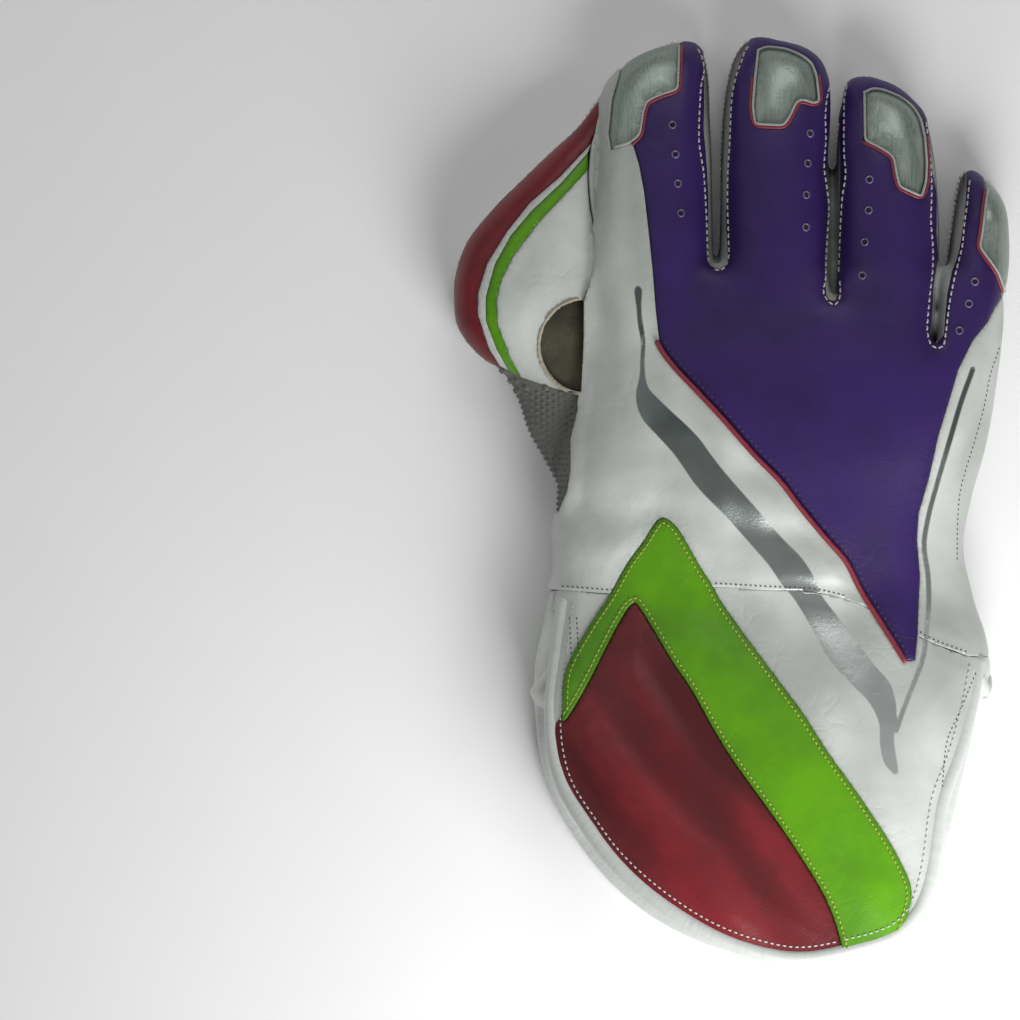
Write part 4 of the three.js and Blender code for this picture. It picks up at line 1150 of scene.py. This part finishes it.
# Below the wrist, a soft gusset on each side joins the two tongues of the cuff.
middle_x = seen([(796, 0)])[0][0]
for name, node, facing in (
    ("thumb_gusset_leather", "thumb_side_gusset", 1),
    ("little_gusset_leather", "little_side_gusset", -1),
):
    panel(name, take(lambda p: np.maximum((p[:, 0] - middle_x) * facing, PALM_WRAP - p[:, 2])), node,
          "white_leather", (white_leather, lining, white_leather), sink=0.4, puff=0.5, fold=0.9, fold_size=17)

# The palm side of the cuff is white leather with a green band running down it and a maroon
# piece beside the band. It lies flat on the ground.
PALM_BAND_EDGE = (
    (541, 527), (582, 527), (590, 640), (656, 739), (821, 1001), (726, 1001), (598, 812), (563, 724),
    (544, 658),
)
PALM_INSET_EDGE = (
    (150, 527), (543, 527), (549, 658), (576, 724), (615, 812), (739, 1001), (150, 1001),
)
for name, outline, node, slot, finish in (
    ("palm_band_leather", PALM_BAND_EDGE, "cuff_palm_band", "green_leather", green_leather),
    ("palm_inset_leather", PALM_INSET_EDGE, "cuff_palm_inset", "red_leather", red_leather),
):
    panel(name, take(within(seen(outline))), node, slot, (finish, lining, raw_edge), fill=0.2, puff=0.5)
panel("cuff_palm_leather", leather, "cuff_palm", "white_leather", (white_leather, lining, raw_edge), fill=0.2,
      puff=0.5)

# A padded roll of white leather is sewn over the free edge of each cuff tongue. On the back
# it starts at the wrist, and on the palm side it climbs the gussets to meet the other roll.
ROLL_SUNK = 1.9
GATHERING = 0.025


def even_run(line, step):
    """The same line with points one step apart."""
    travelled = np.concatenate([[0.0], np.cumsum(np.linalg.norm(np.diff(line, axis=0), axis=1))])
    places = np.linspace(0, travelled[-1], max(2, int(round(travelled[-1] / step)) + 1))
    return np.column_stack([np.interp(places, travelled, line[:, i]) for i in range(line.shape[1])])


def soften(line, rounds):
    for _ in range(rounds):
        line[1:-1] = (line[:-2] + 2 * line[1:-1] + line[2:]) / 4
    return line


def beside(line, offset):
    """A line seen from above, moved sideways to its left."""
    ahead = unit(np.gradient(line, axis=0))
    return line + np.column_stack([-ahead[:, 1], ahead[:, 0]]) * offset


def laid(line, tree, from_below=False):
    """Drops a line seen from above, or raises one from below, onto what it meets."""
    places, normals = [], []
    start, ahead = (-20.0, Vector((0, 0, 1))) if from_below else (150.0, Vector((0, 0, -1)))
    for x, y in line:
        place, normal = tree.ray_cast(Vector((x, y, start)), ahead)[:2]
        if place is not None:
            places.append(place)
            normals.append(normal if normal.dot(ahead) < 0 else -normal)
    return np.array(places), np.array(normals)


def tube(name, centre, radius, finish, node=None, sides=14, flat=1.0):
    """A round-ended tube along a line, with its length along itself as an attribute."""
    radius = np.broadcast_to(radius, len(centre)).astype(float)
    ahead = unit(np.gradient(centre, axis=0))
    first, last = ahead[0] * radius[0], ahead[-1] * radius[-1]
    start = [centre[0] - first * reach for reach in (0.8, 0.45)]
    end = [centre[-1] + last * reach for reach in (0.45, 0.8)]
    centre = np.vstack([*start, centre, *end])
    shrinking = np.array([0.8, 0.3])
    radius = np.concatenate([radius[0] * shrinking[::-1], radius, radius[-1] * shrinking])
    ahead = np.vstack([ahead[:1], ahead[:1], ahead, ahead[-1:], ahead[-1:]])
    level = unit(np.cross(ahead, (0, 0, 1.0)) + 1e-6)
    for i in range(1, len(level)):
        level[i] = unit(level[i] - ahead[i] * level[i].dot(ahead[i]) + 0.6 * level[i - 1])
        level[i] = unit(level[i] - ahead[i] * level[i].dot(ahead[i]))
    up = np.cross(level, ahead)
    angle = np.linspace(0, 2 * math.pi, sides, endpoint=False)
    rings = centre[:, None] + radius[:, None, None] * (
        np.cos(angle)[None, :, None] * level[:, None] + flat * np.sin(angle)[None, :, None] * up[:, None])
    count = len(centre)
    faces = ring_faces(count, sides) + ring_ends(count, sides)
    places = rings.reshape(-1, 3)
    places[:, 2] = np.maximum(places[:, 2], 0.0)
    obj = object_from(name, places, faces, MM)
    travelled = np.concatenate([[0.0], np.cumsum(np.linalg.norm(np.diff(centre, axis=0), axis=1))])
    add_attribute(obj, "along", np.repeat(travelled, sides))
    add_attribute(obj, "edge", np.full(len(places), 5.0))
    face_outward(obj)
    obj.data.shade_smooth()
    obj.data.materials.append(finish)
    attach(obj, "root")
    if node:
        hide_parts(node)
    return obj


def roll_material(name):
    """White leather drawn over a cord, gathered into short creases across it, their hollows painted a little
    darker as shade.
    """
    material, tree, bsdf = new_material(name)
    place, made = leather_node(tree, 5.0, Pore_Depth=0.03, Crease_Depth=0.05)
    small = put(tree, "VectorMath", {0: place, "Scale": 60.0}, operation="SCALE").outputs[0]
    onward = put(tree, "CombineXYZ", {"X": times(tree, carried(tree, "along"), 0.75)}).outputs[0]
    where = put(tree, "VectorMath", {0: small, 1: onward}, operation="ADD").outputs[0]
    gather = tex_noise(tree, where, 1.0, 2.5)
    # Painted shade: the gathers' hollows are a little darker than their crests.
    base = mix(tree, ramp(tree, gather, 0.32, 0.6), (0.5, 0.525, 0.5), (0.55, 0.57, 0.545))
    base = mix(tree, times(tree, made["Mottle"], 0.35), base, (0.44, 0.47, 0.44))
    height = calc(tree, "MULTIPLY_ADD", gather, 0.07, made["Height"])
    dress(tree, bsdf, base, calc(tree, "MULTIPLY_ADD", gather, 0.2, 0.28), height)
    bsdf.inputs["Coat Weight"].default_value = 0.15
    bsdf.inputs["Coat Roughness"].default_value = 0.3
    return material


roll_leather = roll_material("roll_leather")
back_run = curve_through(seen(CUFF_BACK_EDGE[2:-3]))
back_run, back_normals = laid(beside(back_run, ROLL_RADIUS), whole_form)
back_run = soften(even_run(back_run - back_normals * ROLL_SUNK, 1.2), 30)
back_gathers = 1 + GATHERING * folds(back_run, 6.0, 2)
back_roll = tube("cuff_back_roll", back_run, ROLL_RADIUS * back_gathers, roll_leather,
                 "cuff_back_binding", sides=18)
from_roll = np.abs(edge_distance(mouth, cuff_back_edge) + ROLL_RADIUS)
on_back = (mouth[:, 2] > CUFF_SPLIT + 0.2) & (from_roll < 0.5)
palm_start = int(np.argmin(mouth[:, 1] + np.where(mouth[:, 2] < 15, 0, 1000)))
order = np.roll(np.arange(len(mouth)), -palm_start)
back_steps = np.flatnonzero(on_back[order])
low_run = np.concatenate([order[back_steps[-1]:], order[: back_steps[0] + 1]])
palm_run = mouth[low_run] - mouth_normals[low_run] * ROLL_SUNK
palm_run = soften(even_run(palm_run, 1.2), 40)
palm_run[:, 2] = np.maximum(palm_run[:, 2], ROLL_RADIUS + 0.1)
palm_run = soften(palm_run, 6)
palm_gathers = 1 + GATHERING * folds(palm_run, 6.0, 4)
palm_roll = tube("cuff_palm_roll", palm_run, ROLL_RADIUS * palm_gathers, roll_leather,
                 "cuff_palm_binding", sides=18)

# A thin red piping is caught in the seam between the purple back and the white hand, and
# each cap is edged by a white bead with a red one beside it.
PIPING = BACK_EDGE[8:22]
PIPING_RADIUS = 0.95
PIPING_ASIDE = 0.7
LITTLE_TRIM = ((985.5, 190), (982.6, 209), (979.7, 232), (976.8, 247.4), (994.4, 272.3), (1001.7, 291))
CAP_TRIMS = {
    "index": (CAPS["index"][2:10], CAPS["index"][2:9]),
    "middle": ((*CAPS["middle"], CAPS["middle"][0]), CAPS["middle"][5:]),
    "ring": ((*CAPS["ring"], CAPS["ring"][0]), CAPS["ring"][6:]),
    "little": (LITTLE_TRIM, LITTLE_TRIM),
}


def thread_material(name, colour, roughness=0.7):
    """Twisted thread or cord: fine slanting strands, dirty in patches, with painted shade in the hollows
    between them.
    """
    material, tree, bsdf = new_material(name)
    place = put(tree, "TexCoord").outputs["Object"]
    strand = put(tree, "TexWave", {"Vector": place, "Scale": 620.0, "Distortion": 3.0, "Detail": 1.0},
                 bands_direction="DIAGONAL").outputs["Fac"]
    dirt_and_shade_patches = tex_noise(tree, place, 260.0, 3.0)
    # Darker where the strands dip and in patches: painted shade in the hollows, dirt in the patches.
    base = mix(tree, times(tree, strand, dirt_and_shade_patches), tuple(0.55 * c for c in colour), colour)
    rough = calc(tree, "MULTIPLY_ADD", dirt_and_shade_patches, 0.2, roughness - 0.1)
    dress(tree, bsdf, base, rough, strand, depth=0.00006, strength=0.8)
    return material


skin_points, skin_triangles, first = [], [], 0
for piece_points, piece_triangles in skins:
    skin_points.append(piece_points)
    skin_triangles.append(piece_triangles + first)
    first += len(piece_points)
skin_tree = BVHTree.FromPolygons(np.vstack(skin_points).tolist(), np.vstack(skin_triangles).tolist())
red_cord = thread_material("red_cord", (0.34, 0.035, 0.06), 0.5)
white_cord = thread_material("white_cord", (0.54, 0.56, 0.53), 0.55)
piping_line = beside(even_run(curve_through(seen(PIPING)), 0.8), -PIPING_ASIDE)
line, facing = laid(piping_line, whole_form)
tube("back_piping", soften(line + facing * PIPING_RADIUS, 10), PIPING_RADIUS, red_cord,
     "seam_piping", sides=10)
for finger, (bead_outline, edging_outline) in CAP_TRIMS.items():
    cap_middle = seen(CAPS[finger]).clip(None, 400).mean(axis=0)
    for name, outline, offset, lift, radius, finish in (
        ("white_bead", bead_outline, -0.3, 0.45, 0.5, white_cord),
        ("red_edging", edging_outline, 0.7, 0.4, 0.5, red_cord),
    ):
        run = soften(even_run(seen(outline), 0.7), 1)
        ahead = unit(np.gradient(run, axis=0))
        left = np.column_stack([-ahead[:, 1], ahead[:, 0]])
        outward = 1.0 if np.sum(left * (run - cap_middle)) > 0 else -1.0
        line, facing = laid(soften(beside(run, offset * outward), 1), whole_form)
        kept = facing[:, 2] > 0.12
        tube(finger + "_" + name, soften(line[kept] + facing[kept] * lift, 4), radius, finish,
             sides=8)

# Every seam is sewn by hand or machine with thick thread. Each stitch is a short bar whose
# ends dive into the leather. Rows of dark bars stand for stitch holes: painted shade where the thread lies
# deep inside.
STITCH_SIDES = 6
STITCH_STEP = 0.1


def stitches(name, rows, pitch, dash, width, thread, from_below=False, proud=0.3):
    """Rows of stitches that lie on what they meet, all as one piece."""
    starts, middles, ends, normals = [], [], [], []
    for row in rows:
        run = even_run(np.asarray(row, float), STITCH_STEP)
        for centre in np.arange(pitch / 2, (len(run) - 1) * STITCH_STEP - dash / 2, pitch):
            picks = [int(round(t / STITCH_STEP)) for t in (centre - dash / 2, centre, centre + dash / 2)]
            if picks[0] < 0:
                continue
            places, facing = laid(run[picks], skin_tree, from_below)
            if len(places) < 3 or np.ptp(places[:, 2]) > dash * 1.2 or np.ptp(np.diff(places[:, 2])) > 0.7:
                continue
            starts.append(places[0])
            middles.append(places[1])
            ends.append(places[2])
            normals.append(facing.mean(axis=0))
    starts, middles, ends = np.array(starts), np.array(middles), np.array(ends)
    up = unit(np.array(normals))
    level = unit(np.cross(up, ends - starts))
    angle = np.linspace(0, 2 * math.pi, STITCH_SIDES, endpoint=False)
    around = np.cos(angle)[None, :, None] * level[:, None] + 0.8 * np.sin(angle)[None, :, None] * up[:, None]
    dive, shoulder = (-0.35, 0.45), (0.1, 0.9)
    profile = ((0.0, *dive), (0.12, *shoulder), (0.5, proud, 1.0), (0.88, *shoulder), (1.0, *dive))
    rings = []
    for t, lift, size in profile:
        centre = starts * (2 * t * t - 3 * t + 1) + middles * (4 * t - 4 * t * t) + ends * (2 * t * t - t)
        centre = centre + up * lift
        rings.append(centre[:, None] + around * width / 2 * size)
    places = np.stack(rings, axis=1).reshape(-1, 3)
    template = ring_faces(len(rings), STITCH_SIDES) + ring_ends(len(rings), STITCH_SIDES)
    count = len(rings) * STITCH_SIDES
    faces = [tuple(v + count * k for v in face) for k in range(len(starts)) for face in template]
    places[:, 2] = np.maximum(places[:, 2], 0.0)
    obj = object_from(name, places, faces, MM)
    face_outward(obj)
    obj.data.shade_smooth()
    obj.data.materials.append(thread)
    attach(obj, "root")
    return obj


SLOT_STITCHES = (
    ((696, 48), (700, 55), (703, 70), (700, 85), (698.6, 104.6), (697.5, 129.5), (697.8, 146), (702, 172.6),
     (703.6, 196), (705, 221), (705.7, 245.6), (707, 262), (712.7, 269.6), (717.7, 271.3), (722.7, 268.8),
     (727.3, 260.5), (727.6, 237), (726.8, 204), (727.3, 171), (729, 146), (730, 121), (731.8, 96),
     (736, 76.4), (741, 63), (745, 51.6), (751.7, 43.3)),
    ((830.5, 79), (825.7, 98), (823.8, 117.4), (824.2, 140), (822.3, 167), (824.8, 186), (827.3, 205),
     (825.7, 232), (823.8, 261), (822.9, 280), (821, 293), (827.6, 303.8), (833.4, 304.8), (837.2, 299),
     (838.6, 289.5), (837.6, 274), (838.7, 251), (839.7, 224.5), (841.4, 197.7), (844.5, 174.7),
     (843.3, 155.6), (843.3, 127), (844.5, 98), (848.7, 79)),
    ((924.8, 121), (927, 146), (929.4, 174.7), (929.4, 197.7), (928.6, 222.6), (930.5, 247.4), (930, 270.4),
     (927, 295), (924.8, 318), (924.2, 331.6), (928, 345), (934.7, 348.4), (940.5, 345.9), (943.3, 333.5),
     (945.3, 318), (947.7, 301), (952, 280), (956.7, 262.7), (960.6, 247.4), (963.4, 222.6), (966.3, 203.4),
     (968.2, 188), (970, 175.7)),
)
WRIST_HOLES = (
    ((560, 586), (613, 590)), ((712, 583), (764, 586), (815, 589), (845, 596)),
    ((916, 631), (930, 639), (965, 652)), ((569, 616), (571, 668)), ((576, 616), (578, 660)),
)
ULNAR_HOLES = (
    ((998.5, 346), (988.3, 375), (982.4, 404.5), (973.6, 437), (959, 487), (956, 516), (955.4, 563)),
    ((973.6, 671.5), (956, 712.5), (944, 739), (938, 790)),
)
VENTS = (
    (671.3, 126), (674.2, 155.5), (676.6, 184.6), (679.6, 214), (808.6, 134.5), (806, 164.3), (804.4, 195.8),
    (804, 228), (867.4, 180.5), (866.5, 211), (862.5, 242.6), (859.8, 276), (972.4, 281.8), (966.3, 303.8),
    (956.7, 330.6),
)
white_thread = thread_material("white_thread", (0.72, 0.7, 0.68))
yellow_thread = thread_material("yellow_thread", (0.5, 0.56, 0.1))
dark_thread_and_hole_shade = thread_material("dark_thread_and_hole_shade", (0.09, 0.085, 0.08))
orange_thread = thread_material("orange_thread", (0.6, 0.3, 0.05))


def curves(rows):
    return [curve_through(seen(row), step=0.5) for row in rows]


palm_band = seen(PALM_BAND_EDGE)
roll_row = beside(curve_through(seen(CUFF_BACK_EDGE[2:-3])), ROLL_RADIUS * 2 + 1.1)
palm_roll_row = beside(curve_through(seen(CUFF_PALM_EDGE)), ROLL_RADIUS * 2 + 1.5)
heel_row = curve_through(seen([(552, 626), (640, 630), (760, 628), (880, 634), (950, 645)]))
stitches("slot_stitches", curves(SLOT_STITCHES), 2.6, 2.0, 0.75, white_thread)
chevron_rows = [beside(even_run(edge, 0.5), -1.7) for edge in (chevron_outer, chevron_inner)]
stitches("chevron_stitches", chevron_rows, 2.0, 1.5, 0.6, yellow_thread)
stitches("roll_stitches", [soften(even_run(roll_row, 0.5), 40)], 2.3, 1.5, 0.65, white_thread)
# Painted shade: these dark bars stand for the shadowed stitch holes at the wrist and the little finger's
# side.
stitches("wrist_holes", curves(WRIST_HOLES + ULNAR_HOLES), 1.8, 0.8, 0.5, dark_thread_and_hole_shade,
         proud=0.05)
stitches("piping_stitches", [beside(even_run(curve_through(seen(PIPING)), 0.5), 1.9)], 2.4, 1.3, 0.45,
         dark_thread_and_hole_shade, proud=0.15)
palm_rows = [beside(even_run(edge, 0.5), -2.6) for edge in (palm_band[1:5], palm_band[5:])]
stitches("palm_band_stitches", palm_rows, 2.6, 1.8, 0.6, orange_thread, from_below=True)
stitches("palm_roll_stitches", [soften(even_run(palm_roll_row, 0.5), 40)], 2.6, 1.8, 0.6, white_thread,
         from_below=True)
stitches("heel_stitches", [heel_row], 2.6, 1.6, 0.6, dark_thread_and_hole_shade, from_below=True)

# The thumb's hole is cut rough, and its edge shows the pale inside of the leather.
RIM_OUT = 1.6
rim_size = (EYE_SIZE[0] + RIM_OUT, EYE_SIZE[1] + RIM_OUT)
eye_turn = np.linspace(math.radians(97), math.radians(263), 60)
eye_rim = seen(np.column_stack([np.cos(eye_turn), np.sin(eye_turn)]) * rim_size + EYE_CENTRE)
line, facing = laid(even_run(eye_rim, 0.5), skin_tree)
ragged = 1 + 0.6 * folds(line, 1.5, 9)
rim_line = soften(line + facing * 0.1, 3) + facing * 0.25 * folds(line, 2.4, 3)[:, None]
tube("thumb_eye_edge", rim_line, 0.65 * ragged, raw_edge, sides=8)

# Small vents are punched through the back of each finger, each with a pressed rim. Each rim
# is painted pale lavender as a painted highlight, and each hole is a near-black disc of painted shadow.
VENT_RADIUS = 1.25
VENT_RIM = 0.36
VENT_HEIGHT = 0.06
VENT_PROFILE = ((1.05, VENT_HEIGHT), (1.15, -0.3))
VENT_SIDES = 19
vent_pale = leather_material("vent_rim", (0.15, 0.12, 0.25), (0.07, 0.05, 0.13), (0.05, 0.035, 0.1), 0.28,
                             gloss=0.7)
vent_painted_shadow = leather_material("vent_shadow", (0.012, 0.01, 0.014), (0.008, 0.007, 0.01), (0.008, 0.007, 0.01),
                             0.9)
for number, place in enumerate(seen(VENTS)):
    spot, facing = laid([place], skin_tree)
    across_n = unit(np.cross(facing[0], (0, 1.0, 0)))
    along_n = np.cross(facing[0], across_n)
    turn = np.linspace(0, 2 * math.pi, VENT_SIDES + 1)
    ring = spot[0] + VENT_RADIUS * (np.cos(turn)[:, None] * across_n + np.sin(turn)[:, None] * along_n)
    tube(f"vent_rim_{number + 1}", ring + facing[0] * 0.05, VENT_RIM, vent_pale, sides=8)
    disc = [spot[0] + facing[0] * VENT_HEIGHT]
    for size, height in VENT_PROFILE:
        disc.extend(spot[0] + size * (math.cos(a) * across_n + math.sin(a) * along_n) + facing[0] * height
                    for a in turn[:-1])
    faces = [(0, 1 + i, 1 + (i + 1) % VENT_SIDES) for i in range(VENT_SIDES)]
    faces += [(1 + a, 1 + d, 1 + c, 1 + b) for a, b, c, d in ring_faces(2, VENT_SIDES)]
    # A near-black disc of painted shadow stands for the hole.
    hole = object_from(f"vent_shadow_disc_{number + 1}", disc, faces, MM)
    hole.data.materials.append(vent_painted_shadow)
    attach(hole, "root")

# A plain pale floor and three soft lights, the strongest from the lower right.
bpy.ops.mesh.primitive_plane_add(size=6.0, location=(0, 0, 0))
floor = bpy.context.object
floor.name = "floor"
floor_paint, tree, bsdf = new_material("floor")
speckle = tex_noise(tree, put(tree, "TexCoord").outputs["Object"], 30.0)
tree.links.new(mix(tree, speckle, (0.84, 0.84, 0.84), (0.86, 0.86, 0.86)), bsdf.inputs["Base Color"])
tree.links.new(calc(tree, "MULTIPLY_ADD", speckle, 0.05, 0.65), bsdf.inputs["Roughness"])
floor.data.materials.append(floor_paint)
floor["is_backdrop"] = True
for name, place, size, power in (
    ("key", (0.21, -0.43, 0.32), 0.4, 4.3),
    ("fill", (-1.1, 0.6, 1.1), 1.2, 2.5),
    ("back", (0.2, 1.4, 1.2), 1.0, 7.0),
):
    light = bpy.data.objects.new(name, bpy.data.lights.new(name, "AREA"))
    light.data.size = size
    light.data.energy = power
    light.location = place
    light.rotation_euler = (-Vector(place)).to_track_quat("-Z", "Y").to_euler()
    bpy.context.scene.collection.objects.link(light)
world = bpy.data.worlds.new("world")
world.use_nodes = True
background = world.node_tree.nodes["Background"]
background.inputs["Color"].default_value = (1, 1, 1, 1)
background.inputs["Strength"].default_value = 0.22
bpy.context.scene.world = world
bpy.context.scene.view_settings.view_transform = "Standard"

low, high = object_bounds()
